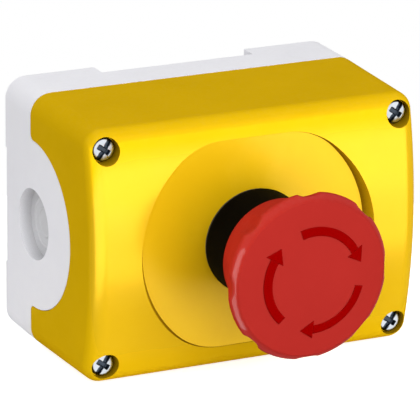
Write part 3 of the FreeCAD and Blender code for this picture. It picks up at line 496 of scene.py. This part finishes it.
border_numbers = outline_numbers(SCREW_GRID)
rings = shank_rings(top.reshape(-1, 3)[border_numbers])
ring_numbers = np.arange(rings.size // 3).reshape(rings.shape[:2]) + SCREW_GRID**2
chain = np.vstack([border_numbers, ring_numbers])
ahead = np.roll(chain, -1, axis=1)
sides = np.stack([chain[:-1], chain[1:], ahead[1:], ahead[:-1]], axis=-1).reshape(-1, 4)
one_screw = np.concatenate([top.reshape(-1, 3), rings.reshape(-1, 3), [[0, -SCREW_TIP, 0]]])
quads = np.concatenate([grid_quads(SCREW_GRID, SCREW_GRID, False)[:, ::-1], sides])
tip_fan = fan(chain[-1], len(one_screw) - 1, True)
places = [(sx * SCREW_X, 0, sz * SCREW_Z) for sx in (-1, 1) for sz in (-1, 1)]
all_points = np.concatenate([one_screw + np.array(place) for place in places]) * MM
all_faces = []
for first_number in range(0, len(all_points), len(one_screw)):
    all_faces += (quads + first_number).tolist() + (tip_fan + first_number).tolist()
lid_fasteners = mesh_piece("lid_fasteners", all_points, all_faces, "case")
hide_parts("lid_screws")
# Painted shade share for every point; the side and the shank are fully shaded.
dull = np.ones(len(one_screw), np.float32)
dull[: top_shade.size] = top_shade.ravel()
keep_values(lid_fasteners, "painted_shade_share", np.tile(dull, len(places)))

# %% [markdown]
# ## The break-out discs
# A cable entry is closed by a thin disc that is broken out when a cable gland goes in. Raised
# rings mark where it gives way. They are a turned shape about the left-right axis: the height
# over the disc is a sum of two smooth bumps of the radius, and a flat rear closes it.

# %% Break-out rings
SIDES = {"left": -1, "right": 1}
DISC_X = 39.9
DISC_FORWARD = 16.8
DISC_RADIUS = 8.6
DISC_FIRST_RADIUS = 0.3
DISC_LIFT = 0.01
DISC_SINK = 0.1
RING_RADII = (3.4, 6.1)
RING_HALF_FLAT = 0.1125
RING_HALF_WIDTH = 0.45
RING_HEIGHT = 0.2
DISC_ROWS = 90
DISC_STEPS = 120


def ring_height(radius):
    """Height over the disc: a smooth bump about each ring's radius."""
    off = np.abs(radius - np.array(RING_RADII)[:, None])
    return RING_HEIGHT * np.sum(1 - smooth_step(RING_HALF_FLAT, RING_HALF_WIDTH, off), axis=0)


def disc_points(side):
    """Radius and turn on the disc; the height points outwards, and the last ring is the rear."""
    rows = np.linspace(DISC_FIRST_RADIUS, DISC_RADIUS, DISC_ROWS)
    radius = np.append(rows, DISC_RADIUS)
    height = np.append(ring_height(rows) + DISC_LIFT, -DISC_SINK)
    angle = np.linspace(0, 2 * np.pi, DISC_STEPS, endpoint=False) * side
    y = radius[:, None] * np.cos(angle) - DISC_FORWARD
    z = radius[:, None] * np.sin(angle)
    x = np.broadcast_to(side * (DISC_X + height)[:, None], y.shape)
    tips = [[side * (DISC_X + end), -DISC_FORWARD, 0] for end in (DISC_LIFT, -DISC_SINK)]
    return np.concatenate([np.stack([x, y, z], axis=-1).reshape(-1, 3), tips]) * MM


disc_faces = turned_faces(DISC_ROWS + 1, DISC_STEPS)
for word, side in SIDES.items():
    mesh_piece(f"breakout_disc_{word}", disc_points(side), disc_faces, "case")

# %% [markdown]
# ## The springs
# Four springs work inside: one behind the collar's web drives the stem in, one turns the head
# back, and one closes each pair of contacts. The imported model has them stiff and of square wire.
# Here each is a circle carried along a helix between the parts at its two ends. The first two
# stand on no body, and the contact springs ride on the case. The contact springs close up to a
# quarter of their length.

# %% Spring wire
WIRE_STEPS = 12
TURN_STEPS = 40


def coil_points(coil_radius, wire_radius, rear, front, turns, flat_ends, axis_x=0.0):
    """Circle carried along a helix, whose rise is eased where its end turns lie flat."""
    share = np.linspace(0, 1, int(turns * TURN_STEPS) + 1)
    eased = (1 - flat_ends) * share + flat_ends * smooth_step(0, 1, share)
    place = rear + wire_radius + (front - rear - 2 * wire_radius) * eased
    angle = 2 * np.pi * turns * share
    around = np.linspace(0, 2 * np.pi, WIRE_STEPS, endpoint=False)
    radius = coil_radius + wire_radius * np.cos(around)
    x = axis_x + np.outer(np.cos(angle), radius)
    y = -(place[:, None] + wire_radius * np.sin(around))
    wire = np.stack([x, y, np.outer(np.sin(angle), radius)], axis=-1)
    tips = wire[[0, -1]].mean(axis=1)
    return np.concatenate([wire.reshape(-1, 3), tips]) * MM


def spring(name, node, body, shape):
    """One spring in place of a node; its rings are closed by a fan at each end of the wire."""
    points = coil_points(**shape)
    rings = (len(points) - 2) // WIRE_STEPS
    piece = mesh_piece(name, points, turned_faces(rings, WIRE_STEPS), body)
    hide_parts(node)
    return piece


print("a spring has", TURN_STEPS, "steps in each turn")

# %% Springs in their places
FLANGE_FRONT = 48.0
WEB_REAR = 55.5
CONTACT_X = 5.2
COVER_FRONT = 10.5
BRIDGE_REAR = 15.8
TRIP_WIRE = {"coil_radius": 7.5, "wire_radius": 0.45, "turns": 3.5, "flat_ends": 1.0}
TWIST_WIRE = {"coil_radius": 8.5, "wire_radius": 0.3, "turns": 2.5, "flat_ends": 0.0}
CONTACT_WIRE = {"coil_radius": 1.9, "wire_radius": 0.2, "turns": 2.5, "flat_ends": 1.0}


shape = {**TRIP_WIRE, "rear": FLANGE_FRONT, "front": WEB_REAR}
trip_coil = spring("trip_coil", "trip_spring", None, shape)
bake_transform(trip_coil)
shape = {**TWIST_WIRE, "rear": HUB_REAR, "front": CAVITY_FLOOR}
twist_coil = spring("twist_coil", "twist_spring", None, shape)
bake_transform(twist_coil)
for word, side in SIDES.items():
    x = side * CONTACT_X
    shape = {**CONTACT_WIRE, "rear": COVER_FRONT, "front": BRIDGE_REAR, "axis_x": x}
    closing = spring(f"contact_coil_{word}", f"contact_spring_{word}", "case", shape)
    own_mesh(closing)

# %% [markdown]
# ## Shared effects
# Plastic from a mould is never one even colour: the tone drifts a little over the part, the
# surface has a fine grain, corners are rubbed paler by hands and cloths, and dust settles on what
# faces up. Each effect is a node group, built once, and every finish places it with its own
# values. The groups read Object coordinates, which are the part's own, so nothing slides when a
# part moves.

# %% Node helpers
NOISE_SPREAD = (0.3, 0.7)


def new_group(name, inputs, outputs):
    """An empty node group with named number inputs, their first values, and named outputs."""
    tree = bpy.data.node_groups.new(name, "ShaderNodeTree")
    for label, value in inputs.items():
        socket = tree.interface.new_socket(label, in_out="INPUT", socket_type="NodeSocketFloat")
        socket.default_value = value
    for label in outputs:
        tree.interface.new_socket(label, in_out="OUTPUT", socket_type="NodeSocketFloat")
    return tree, tree.nodes.new("NodeGroupInput").outputs, tree.nodes.new("NodeGroupOutput").inputs


def put(tree, kind, **settings):
    """A node of that kind with its properties set."""
    node = tree.nodes.new(kind)
    for label, value in settings.items():
        setattr(node, label, value)
    return node


def feed(tree, value, socket):
    """What a socket gets: another socket is linked to it, and a plain value is set on it."""
    if isinstance(value, bpy.types.NodeSocket):
        tree.links.new(value, socket)
    else:
        socket.default_value = value


def own_place(tree):
    """Object coordinates."""
    return put(tree, "ShaderNodeTexCoord").outputs["Object"]


def split(tree, vector):
    """The parts of a vector, by their letters."""
    node = put(tree, "ShaderNodeSeparateXYZ")
    tree.links.new(vector, node.inputs[0])
    return node.outputs


def surface_normal(tree):
    """The parts of the surface's normal, by their letters."""
    return split(tree, put(tree, "ShaderNodeNewGeometry").outputs["Normal"])


def noise(tree, scale, detail, roughness=0.55, place=None):
    """Noise over a place, or over Object coordinates if none is given."""
    texture = put(tree, "ShaderNodeTexNoise")
    feed(tree, own_place(tree) if place is None else place, texture.inputs["Vector"])
    for label, value in (("Scale", scale), ("Detail", detail), ("Roughness", roughness)):
        feed(tree, value, texture.inputs[label])
    return texture.outputs["Fac"]


def rescale(tree, value, low, high, new_low=0.0, new_high=1.0):
    """Value carried from one range to another, clamped at both ends."""
    node = put(tree, "ShaderNodeMapRange", clamp=True)
    labels = ("Value", "From Min", "From Max", "To Min", "To Max")
    for label, number in zip(labels, (value, low, high, new_low, new_high)):
        feed(tree, number, node.inputs[label])
    return node.outputs["Result"]


def combine(tree, operation, first, second=0.0):
    """One or two values through a Math node."""
    node = put(tree, "ShaderNodeMath", operation=operation)
    feed(tree, first, node.inputs[0])
    feed(tree, second, node.inputs[1])
    return node.outputs[0]


print("node helpers are ready")

# %% Moulded skin
skin, skin_in, skin_out = new_group(
    "moulded_skin", {"Drift Scale": 60.0, "Grain Scale": 2500.0}, ("Drift", "Grain")
)
drift = rescale(skin, noise(skin, skin_in["Drift Scale"], 3.0), *NOISE_SPREAD)
feed(skin, drift, skin_out["Drift"])
feed(skin, noise(skin, skin_in["Grain Scale"], 2.0), skin_out["Grain"])
print("group", skin.name, "gives a slow drift of tone and a fine grain")

# %% Rubbed edges
PATCH_SPREAD = (0.35, 0.7)
rub, rub_in, rub_out = new_group(
    "rubbed_edges", {"Start": 0.52, "Full": 0.6, "Patch Scale": 300.0}, ("Mask",)
)
pointed = put(rub, "ShaderNodeNewGeometry").outputs["Pointiness"]
corner = rescale(rub, pointed, rub_in["Start"], rub_in["Full"])
patches = rescale(rub, noise(rub, rub_in["Patch Scale"], 4.0, 0.65), *PATCH_SPREAD)
feed(rub, combine(rub, "MULTIPLY", corner, patches), rub_out["Mask"])
print("group", rub.name, "marks convex corners, broken up in patches")

# %% Settled dust
UPWARD = (0.2, 1.0)
FLECK_SPREAD = (0.45, 0.75)
dust, dust_in, dust_out = new_group("settled_dust", {"Fleck Scale": 900.0}, ("Mask",))
upward = rescale(dust, surface_normal(dust)["Z"], *UPWARD)
flecks = rescale(dust, noise(dust, dust_in["Fleck Scale"], 5.0, 0.7), *FLECK_SPREAD)
feed(dust, combine(dust, "MULTIPLY", upward, flecks), dust_out["Mask"])
print("group", dust.name, "marks what faces up")

# %% [markdown]
# ## Plastic finishes
# Every plastic here is the same chain: two near tones mixed by the drift, a paler tone on rubbed
# edges, a trace of dust, roughness that follows the drift and a bump from the grain. What differs
# is the numbers: the base is matt from a spark-eroded mould, and the collar is dull black.
# Numbers that are the same all over go straight onto the shader. Some finishes add one thing
# more. Painted shade darkens hollows such as the walls of the dish, the screw wells and the cable
# entries. The lid's front has a thin clear coat, over a polished crown and a dish that is left
# satin, and the head shines along its rim, so coat and roughness follow the place on the part.

# %% Plastic
DUST_COLOUR = (0.62, 0.58, 0.52)
PLAIN_GRAIN = (2500.0, 0.15, 0.02)
MIX_FACTOR, MIX_FIRST, MIX_SECOND, MIX_RESULT = 0, 6, 7, 2
SIGHT_SAMPLES = 8


def mix_colour(tree, mask, first, second):
    """One colour turned into another by a mask; the first is a socket or a plain colour."""
    node = put(tree, "ShaderNodeMix", data_type="RGBA")
    feed(tree, mask, node.inputs[MIX_FACTOR])
    feed(tree, (*first, 1) if isinstance(first, tuple) else first, node.inputs[MIX_FIRST])
    feed(tree, (*second, 1), node.inputs[MIX_SECOND])
    return node.outputs[MIX_RESULT]


def place_group(tree, group, values):
    """Outputs of a group in a material, placed with its own values."""
    node = put(tree, "ShaderNodeGroup", node_tree=group)
    for label, value in values.items():
        node.inputs[label].default_value = value
    return node.outputs


def new_material(name, even):
    """A material, its tree and the inputs of its Principled shader, with the even values set."""
    material = bpy.data.materials.new(name)
    material.use_nodes = True
    sockets = material.node_tree.nodes["Principled BSDF"].inputs
    for label, value in even.items():
        sockets[label].default_value = value
    return material, material.node_tree, sockets


def add_bump(tree, sockets, height, strength, distance):
    """Bump of a height on the shader's normal; distance is the height of 1 in millimetres."""
    bump = put(tree, "ShaderNodeBump")
    bump.inputs["Strength"].default_value = strength
    bump.inputs["Distance"].default_value = distance * MM
    tree.links.new(height, bump.inputs["Height"])
    tree.links.new(bump.outputs["Normal"], sockets["Normal"])


def plastic(name, tones, rubbed, roughness, even, grain=PLAIN_GRAIN, dusty=0.05, rub_share=0.25):
    """Moulded plastic: tones by drift, rubbed edges, dust and grain (scale, strength, mm)."""
    material, tree, sockets = new_material(name, even)
    moulded = place_group(tree, skin, {"Grain Scale": grain[0]})
    worn = combine(tree, "MULTIPLY", place_group(tree, rub, {})["Mask"], rub_share)
    settled = combine(tree, "MULTIPLY", place_group(tree, dust, {})["Mask"], dusty)
    colour = mix_colour(tree, moulded["Drift"], *tones)
    colour = mix_colour(tree, worn, colour, rubbed)
    colour = mix_colour(tree, settled, colour, DUST_COLOUR)
    feed(tree, colour, sockets["Base Color"])
    feed(tree, rescale(tree, moulded["Drift"], 0, 1, *roughness), sockets["Roughness"])
    add_bump(tree, sockets, moulded["Grain"], *grain[1:])
    return material, tree, sockets


def hollow_mask(tree, reach, clear, full):
    """0 in the open, 1 deep in a hollow: how much the part hides within reach in millimetres."""
    sight = put(tree, "ShaderNodeAmbientOcclusion", only_local=True, samples=SIGHT_SAMPLES)
    sight.inputs["Distance"].default_value = reach * MM
    return rescale(tree, sight.outputs["AO"], clear, full)


def stain(tree, sockets, mask, colour):
    """Painted shade: the finish's colour, turned into a darker one by a mask."""
    clean = sockets["Base Color"].links[0].from_socket
    feed(tree, mix_colour(tree, mask, clean, colour), sockets["Base Color"])


print("plastic helpers are ready")

# %% Lid yellow
COAT_PLACE = (-47.6 * MM, -48.8 * MM)
FRONT_COAT = 0.16
FLOOR_FACING = (-0.97, -0.995)
FLOOR_COAT = 0.19
SHINE_SCALE = 90.0
SHINE = (0.85, 1.0)
SATIN_PLACE = (-48.8 * MM, -48.0 * MM)
SATIN_ROUGHNESS = 0.16
LID_HOLLOW = (6.0, 0.97, 0.71)
WALL_FACING = (-0.75, -0.5)
DISH_EDGE = (28.0 * MM, 32.0 * MM)
WELL_SHADE_SHARE = 0.5
YELLOW_PAINTED_SHADE = (0.12, 0.055, 0.001)
lid_yellow, tree, sockets = plastic(
    "lid_yellow",
    tones=((0.665, 0.41, 0.0035), (0.635, 0.39, 0.003)),
    rubbed=(0.72, 0.47, 0.02),
    roughness=(0.15, 0.21),
    even={
        "Metallic": 0.12,
        "Specular IOR Level": 0.0,
        "Specular Tint": (0.95, 0.7, 0.05, 1.0),
        "Coat Roughness": 0.25,
    },
    grain=(2200.0, 0.03, 0.01),
    dusty=0.02,
)
place, facing = split(tree, own_place(tree)), surface_normal(tree)
front_coat = rescale(tree, place["Y"], *COAT_PLACE, 0.0, FRONT_COAT)
floor_coat = rescale(tree, facing["Y"], *FLOOR_FACING, 0.0, FLOOR_COAT)
coat = combine(tree, "MAXIMUM", front_coat, floor_coat)
shine = rescale(tree, noise(tree, SHINE_SCALE, 3.0), *NOISE_SPREAD, *SHINE)
feed(tree, combine(tree, "MULTIPLY", coat, shine), sockets["Coat Weight"])
polished = sockets["Roughness"].links[0].from_socket
satin = rescale(tree, place["Y"], *SATIN_PLACE, 0.0, SATIN_ROUGHNESS)
feed(tree, combine(tree, "ADD", polished, satin), sockets["Roughness"])
# Painted shade: the walls of the dish and the screw wells darken by how much of the lid hides them,
# the wells half as much.
on_wall = rescale(tree, facing["Y"], *WALL_FACING)
lid_painted_shade = combine(tree, "MULTIPLY", hollow_mask(tree, *LID_HOLLOW), on_wall)
off_middle = combine(tree, "ABSOLUTE", place["X"])
in_dish = rescale(tree, off_middle, *DISH_EDGE, 1.0, WELL_SHADE_SHARE)
stain(tree, sockets, combine(tree, "MULTIPLY", lid_painted_shade, in_dish), YELLOW_PAINTED_SHADE)
print("made", lid_yellow.name)

# %% Greys of the base
FAINT_GLOSS = {"Specular IOR Level": 0.2}
BASE_HOLLOW = (7.0, 0.85, 0.45)
GREY_PAINTED_SHADE = (0.50, 0.50, 0.51)
base_grey, tree, sockets = plastic(
    "base_grey",
    tones=((0.895, 0.89, 0.935), (0.87, 0.865, 0.91)),
    rubbed=(0.93, 0.93, 0.94),
    roughness=(0.46, 0.58),
    even=FAINT_GLOSS,
    grain=(3200.0, 0.22, 0.02),
    dusty=0.08,
)
# Painted shade in the base's hollows, such as the cable entries.
stain(tree, sockets, hollow_mask(tree, *BASE_HOLLOW), GREY_PAINTED_SHADE)
# The discs are a darker grey than the base: painted shade in the recess of the cable entries.
disc_shaded_grey = plastic(
    "disc_shaded_grey",
    tones=((0.68, 0.68, 0.70), (0.63, 0.63, 0.65)),
    rubbed=(0.82, 0.82, 0.83),
    roughness=(0.5, 0.62),
    even=FAINT_GLOSS,
    grain=(2600.0, 0.3, 0.03),
    dusty=0.1,
)[0]
print("made", base_grey.name, "and", disc_shaded_grey.name)

# %% Reds of the head
NO_GLOSS = {"Specular IOR Level": 0.0}
POLISH_SCALE = 150.0
POLISH_COAT = (0.15, 0.19)
head_red, tree, sockets = plastic(
    "head_red",
    tones=((0.36, 0.0215, 0.0168), (0.34, 0.020, 0.0155)),
    rubbed=(0.42, 0.05, 0.045),
    roughness=(0.30, 0.38),
    even={**NO_GLOSS, "Coat Roughness": 0.1},
    grain=(2200.0, 0.05, 0.01),
    dusty=0.02,
)
handled = put(tree, "ShaderNodeAttribute", attribute_name="rim_share").outputs["Fac"]
polish = rescale(tree, noise(tree, POLISH_SCALE, 3.0), *NOISE_SPREAD, *POLISH_COAT)
feed(tree, combine(tree, "MULTIPLY", handled, polish), sockets["Coat Weight"])
arrow_print = plastic(
    "arrow_print",
    tones=((0.245, 0.0004, 0.0004), (0.225, 0.0003, 0.0003)),
    rubbed=(0.32, 0.01, 0.008),
    roughness=(0.5, 0.6),
    even=NO_GLOSS,
    dusty=0.0,
)[0]
print("made", head_red.name, "and", arrow_print.name)

# %% Collar, inner plastics and rubber
collar_black = plastic(
    "collar_black",
    tones=((0.0014, 0.0014, 0.0015), (0.0010, 0.0010, 0.0011)),
    rubbed=(0.006, 0.006, 0.006),
    roughness=(0.5, 0.62),
    even={"Specular IOR Level": 0.01},
    dusty=0.0,
    rub_share=0.12,
)[0]
stem_white = plastic(
    "stem_white",
    tones=((0.75, 0.74, 0.70), (0.69, 0.68, 0.64)),
    rubbed=(0.82, 0.81, 0.78),
    roughness=(0.38, 0.5),
    even={},
    dusty=0.02,
)[0]
block_grey = plastic(
    "block_grey",
    tones=((0.11, 0.11, 0.12), (0.085, 0.085, 0.092)),
    rubbed=(0.2, 0.2, 0.21),
    roughness=(0.45, 0.6),
    even={},
    dusty=0.04,
)[0]
seal_rubber = plastic(
    "seal_rubber",
    tones=((0.032, 0.032, 0.034), (0.022, 0.022, 0.023)),
    rubbed=(0.07, 0.07, 0.07),
    roughness=(0.68, 0.84),
    even={},
    grain=(5200.0, 0.45, 0.02),
    dusty=0.12,
)[0]
print("made", [m.name for m in (collar_black, stem_white, block_grey, seal_rubber)])

# %% [markdown]
# ## Metal finishes
# The screws are zinc plated: bright, a little blue, with the fine rings that turning leaves. The
# rings are a wave of the distance from each screw's own axis, which folding the left and right,
# top and bottom places onto one corner gives for all four at once. Springs and contact strips
# carry drawing lines instead, which are stretched noise.

# %% Turning rings
turned, turned_in, turned_out = new_group(
    "turning_rings", {"Axis X": 0.0, "Axis Z": 0.0, "Radians per m": 9000.0}, ("Height",)
)
spot = split(turned, own_place(turned))


def squared_from_axis(letter):
    """Square of the distance along one direction, with both sides folded onto one."""
    folded = combine(turned, "ABSOLUTE", spot[letter])
    off = combine(turned, "SUBTRACT", folded, turned_in[f"Axis {letter}"])
    return combine(turned, "MULTIPLY", off, off)


squared = combine(turned, "ADD", squared_from_axis("X"), squared_from_axis("Z"))
distance = combine(turned, "POWER", squared, 0.5)
phase = combine(turned, "MULTIPLY", distance, turned_in["Radians per m"])
feed(turned, rescale(turned, combine(turned, "SINE", phase), -1, 1), turned_out["Height"])
print("group", turned.name, "gives rings about each screw")

# %% Drawn metal
LINE_STRETCH = (1.0, 0.05, 1.0)
STAIN_SCALE = 220.0
drawn, drawn_in, drawn_out = new_group("drawn_lines", {"Line Scale": 500.0}, ("Height", "Stain"))
stretch = put(drawn, "ShaderNodeMapping")
stretch.inputs["Scale"].default_value = LINE_STRETCH
feed(drawn, own_place(drawn), stretch.inputs["Vector"])
lines = noise(drawn, drawn_in["Line Scale"], 4.0, 0.5, stretch.outputs["Vector"])
feed(drawn, lines, drawn_out["Height"])
feed(drawn, rescale(drawn, noise(drawn, STAIN_SCALE, 4.0), *PATCH_SPREAD), drawn_out["Stain"])
print("group", drawn.name, "gives drawing lines and a faint stain")

# %% Metals
SHADE_ZINC = (0.08, 0.10, 0.13)
SHADE_SPREAD = (0.05, 0.4)
LINE_SCALE = 1500.0
RING_PHASE = 40000.0
METAL_BUMP = (0.12, 0.01)


def metal(name, bright, stained, roughness, axis=None):
    """Metal: tones by stain, roughness and bump by lines; an axis adds rings and painted shade."""
    material, tree, sockets = new_material(name, {"Metallic": 1.0})
    line = place_group(tree, drawn, {"Line Scale": LINE_SCALE})
    colour = mix_colour(tree, line["Stain"], bright, stained)
    height = line["Height"]
    if axis:
        values = {"Axis X": axis[0] * MM, "Axis Z": axis[1] * MM, "Radians per m": RING_PHASE}
        height = place_group(tree, turned, values)["Height"]
        # Painted shade: dark zinc where the attribute says so.
        dull = put(tree, "ShaderNodeAttribute", attribute_name="painted_shade_share").outputs["Fac"]
        colour = mix_colour(tree, rescale(tree, dull, *SHADE_SPREAD), colour, SHADE_ZINC)
    feed(tree, colour, sockets["Base Color"])
    feed(tree, rescale(tree, line["Height"], *NOISE_SPREAD, *roughness), sockets["Roughness"])
    add_bump(tree, sockets, height, *METAL_BUMP)
    return material


screw_axis = (SCREW_X, SCREW_Z)
screw_zinc = metal("screw_zinc", (0.82, 0.87, 0.93), (0.70, 0.76, 0.83), (0.24, 0.36), screw_axis)
plated_steel = metal("plated_steel", (0.72, 0.73, 0.75), (0.60, 0.61, 0.64), (0.22, 0.36))
spring_steel = metal("spring_steel", (0.55, 0.56, 0.58), (0.44, 0.44, 0.46), (0.25, 0.4))
contact_brass = metal("contact_brass", (0.80, 0.58, 0.26), (0.66, 0.44, 0.18), (0.24, 0.4))
print("made", [m.name for m in (screw_zinc, plated_steel, spring_steel, contact_brass)])

# %% [markdown]
# ## Dress the parts
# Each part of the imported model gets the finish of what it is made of. The list goes from the
# finish to the parts, so a part without a finish shows up at once. The new pieces follow.

# %% Finishes on the parts


def both(*stems):
    """Names of the left and the right part of each stem."""
    return [f"{stem}_{side}" for stem in stems for side in SIDES]


dressing = {
    lid_yellow: ["lid_shell"],
    base_grey: ["base_shell"],
    head_red: ["mushroom_head"],
    collar_black: ["bezel_collar", "lock_nut"],
    seal_rubber: ["lid_seal", "panel_gasket", "stem_seal"],
    stem_white: ["stem", *both("contact_slider")],
    block_grey: ["contact_holder", *both("contact_block", "contact_cover")],
    screw_zinc: ["lid_screws"],
    plated_steel: both("terminal_clamps", "terminal_screws"),
    spring_steel: ["latch_clip", "head_retaining_ring", "trip_spring", "twist_spring"]
    + both("contact_spring"),
    contact_brass: both("contact_bridge", "terminal_straps"),
}
dressed = {name: finish for finish, names in dressing.items() for name in names}
for name, finish in dressed.items():
    for material_slot in nodes[name].material_slots:
        material_slot.material = finish
print("parts without a finish:", sorted(set(nodes) - set(dressed)))

# %% Finishes on the new pieces
new_dressing = {
    head_red: ["stop_head"],
    arrow_print: ["head_arrows"],
    screw_zinc: ["lid_fasteners"],
    disc_shaded_grey: both("breakout_disc"),
    spring_steel: ["trip_coil", "twist_coil", *both("contact_coil")],
}
for finish, names in new_dressing.items():
    for name in names:
        bpy.data.objects[name].data.materials.append(finish)
print("new pieces dressed:", sum(len(names) for names in new_dressing.values()))

# %% [markdown]
# ## Floor and light
# The box stands on a round white table in a white room. A large softbox in front of it and above
# the lid is the key, and a weaker one fills from the left. Three low panels light nothing: they
# are there for the polished lid to mirror, and the dimmer one at the bottom lets its lemon shine
# fade out. A strip at the left is mirrored along the head's rim, and a small warm lamp, like
# light that the lid throws back, lifts the head's dark flank. A photographer would keep such
# lamps off the rest with flags and snoots. Light linking does that here: each lamp can name the
# pieces that it reaches or leaves out.

# %% White table
FLOOR_Z = -31.52
FLOOR_RADIUS = 112.0
FLOOR_CENTRE_Y = -18.0
FLOOR_STEPS = 128
FLOOR_GLOW = 0.75
WHITE = (1, 1, 1, 1)
TABLE_WHITE = (0.8, 0.8, 0.8, 1)


def seen_directly(tree):
    """1 for rays that the camera, a gloss or a glass sends out, 0 for those that light things."""
    path = put(tree, "ShaderNodeLightPath").outputs
    seen = combine(tree, "MAXIMUM", path["Is Camera Ray"], path["Is Glossy Ray"])
    return combine(tree, "MAXIMUM", seen, path["Is Transmission Ray"])


angle = np.linspace(0, 2 * np.pi, FLOOR_STEPS, endpoint=False)
floor_edge = np.stack([np.cos(angle), np.sin(angle), np.zeros(FLOOR_STEPS)], axis=-1) * FLOOR_RADIUS
floor_points = (floor_edge + np.array([0, FLOOR_CENTRE_Y, FLOOR_Z])) * MM
floor_mesh = bpy.data.meshes.new("table")
floor_mesh.from_pydata(floor_points.tolist(), [], [list(range(FLOOR_STEPS))])
table = bpy.data.objects.new("table", floor_mesh)
scene.collection.objects.link(table)
table.visible_glossy = False
even = {**NO_GLOSS, "Roughness": 0.9, "Base Color": TABLE_WHITE, "Emission Color": WHITE}
table_white, tree, sockets = new_material("table_white", even)
glow = rescale(tree, seen_directly(tree), 0, 1, 0.0, FLOOR_GLOW)
feed(tree, glow, sockets["Emission Strength"])
floor_mesh.materials.append(table_white)
print("table is", 2 * FLOOR_RADIUS, "mm across")

# %% White room
ROOM_LIGHT = 0.4
world = bpy.data.worlds.new("white_room")
world.use_nodes = True
scene.world = world
room = world.node_tree
backdrop = room.nodes["Background"].inputs
backdrop["Color"].default_value = WHITE
feed(room, rescale(room, seen_directly(room), 0, 1, ROOM_LIGHT, 1.0), backdrop["Strength"])
print("room light is", ROOM_LIGHT)

# %% Soft lamps
LAMP_AIM = (0, -45, 0)
PANEL_DISTANCE = 455
PANEL_GLOW = 6.3
WARM = (1.0, 0.95, 0.1)


def lamp_axes(azimuth, elevation):
    """Side, top and back of a lamp that faces the lid from an azimuth right of the front."""
    a, e = math.radians(azimuth), math.radians(elevation)
    away = np.array([math.sin(a) * math.cos(e), -math.cos(a) * math.cos(e), math.sin(e)])
    side = np.cross([0, 0, 1], away)
    side = side / np.linalg.norm(side)
    return side, np.cross(away, side), away


def link_light(lamp, pieces, state):
    """A lamp that reaches only some pieces (INCLUDE) or leaves them out (EXCLUDE)."""
    receivers = bpy.data.collections.new(f"{lamp.name}_link")
    lamp.light_linking.receiver_collection = receivers
    for piece in pieces:
        receivers.objects.link(piece)
        receivers.collection_objects[-1].light_linking.link_state = state


def softbox(name, direction, distance, size, brightness, mirrored=False, lights=True):
    """Rectangular lamp, its distance and size in millimetres; power = pi * area * brightness."""
    data = bpy.data.lights.new(name, "AREA")
    data.shape = "RECTANGLE"
    data.size, data.size_y = size[0] * MM, size[1] * MM
    data.energy = math.pi * data.size * data.size_y * brightness
    lamp = bpy.data.objects.new(name, data)
    axes = lamp_axes(*direction)
    stand_at(lamp, axes, (np.array(LAMP_AIM) + axes[2] * distance) * MM)
    lamp.visible_camera = False
    lamp.visible_glossy = mirrored
    lamp.visible_diffuse = lights
    scene.collection.objects.link(lamp)
    print(name, "gives", round(data.energy, 3), "W")
    return lamp


def panel(name, direction, size, brightness, keep_off):
    """A softbox that is only mirrored, kept off some pieces."""
    lamp = softbox(name, direction, PANEL_DISTANCE, size, brightness, mirrored=True, lights=False)
    link_light(lamp, keep_off, "EXCLUDE")


panel("mirror_panel", (18, 2), (560, 175), PANEL_GLOW, [lid_fasteners])
panel("mirror_panel_low", (18, -17), (560, 130), 4.1, [lid_fasteners])
panel("mirror_panel_left", (-45, -6), (547, 313), PANEL_GLOW, [lid_fasteners, stop_head])
edge_strip = softbox("edge_strip", (-56, -20), 400, (260, 640), 14.0, mirrored=True, lights=False)
link_light(edge_strip, [stop_head], "INCLUDE")
flank_snoot = softbox("flank_snoot", (-104, 30), 400, (240, 240), 5.0)
flank_snoot.data.color = WARM
link_light(flank_snoot, [stop_head], "INCLUDE")
softbox("key_softbox", (3, 23), 600, (700, 480), 4.5)
softbox("left_fill", (-100, 38), 550, (420, 420), 1.45)

# %% [markdown]
# ## Colour and the end
# The Standard view shows colours as they are written.

# %% Finish
scene.view_settings.view_transform = "Standard"
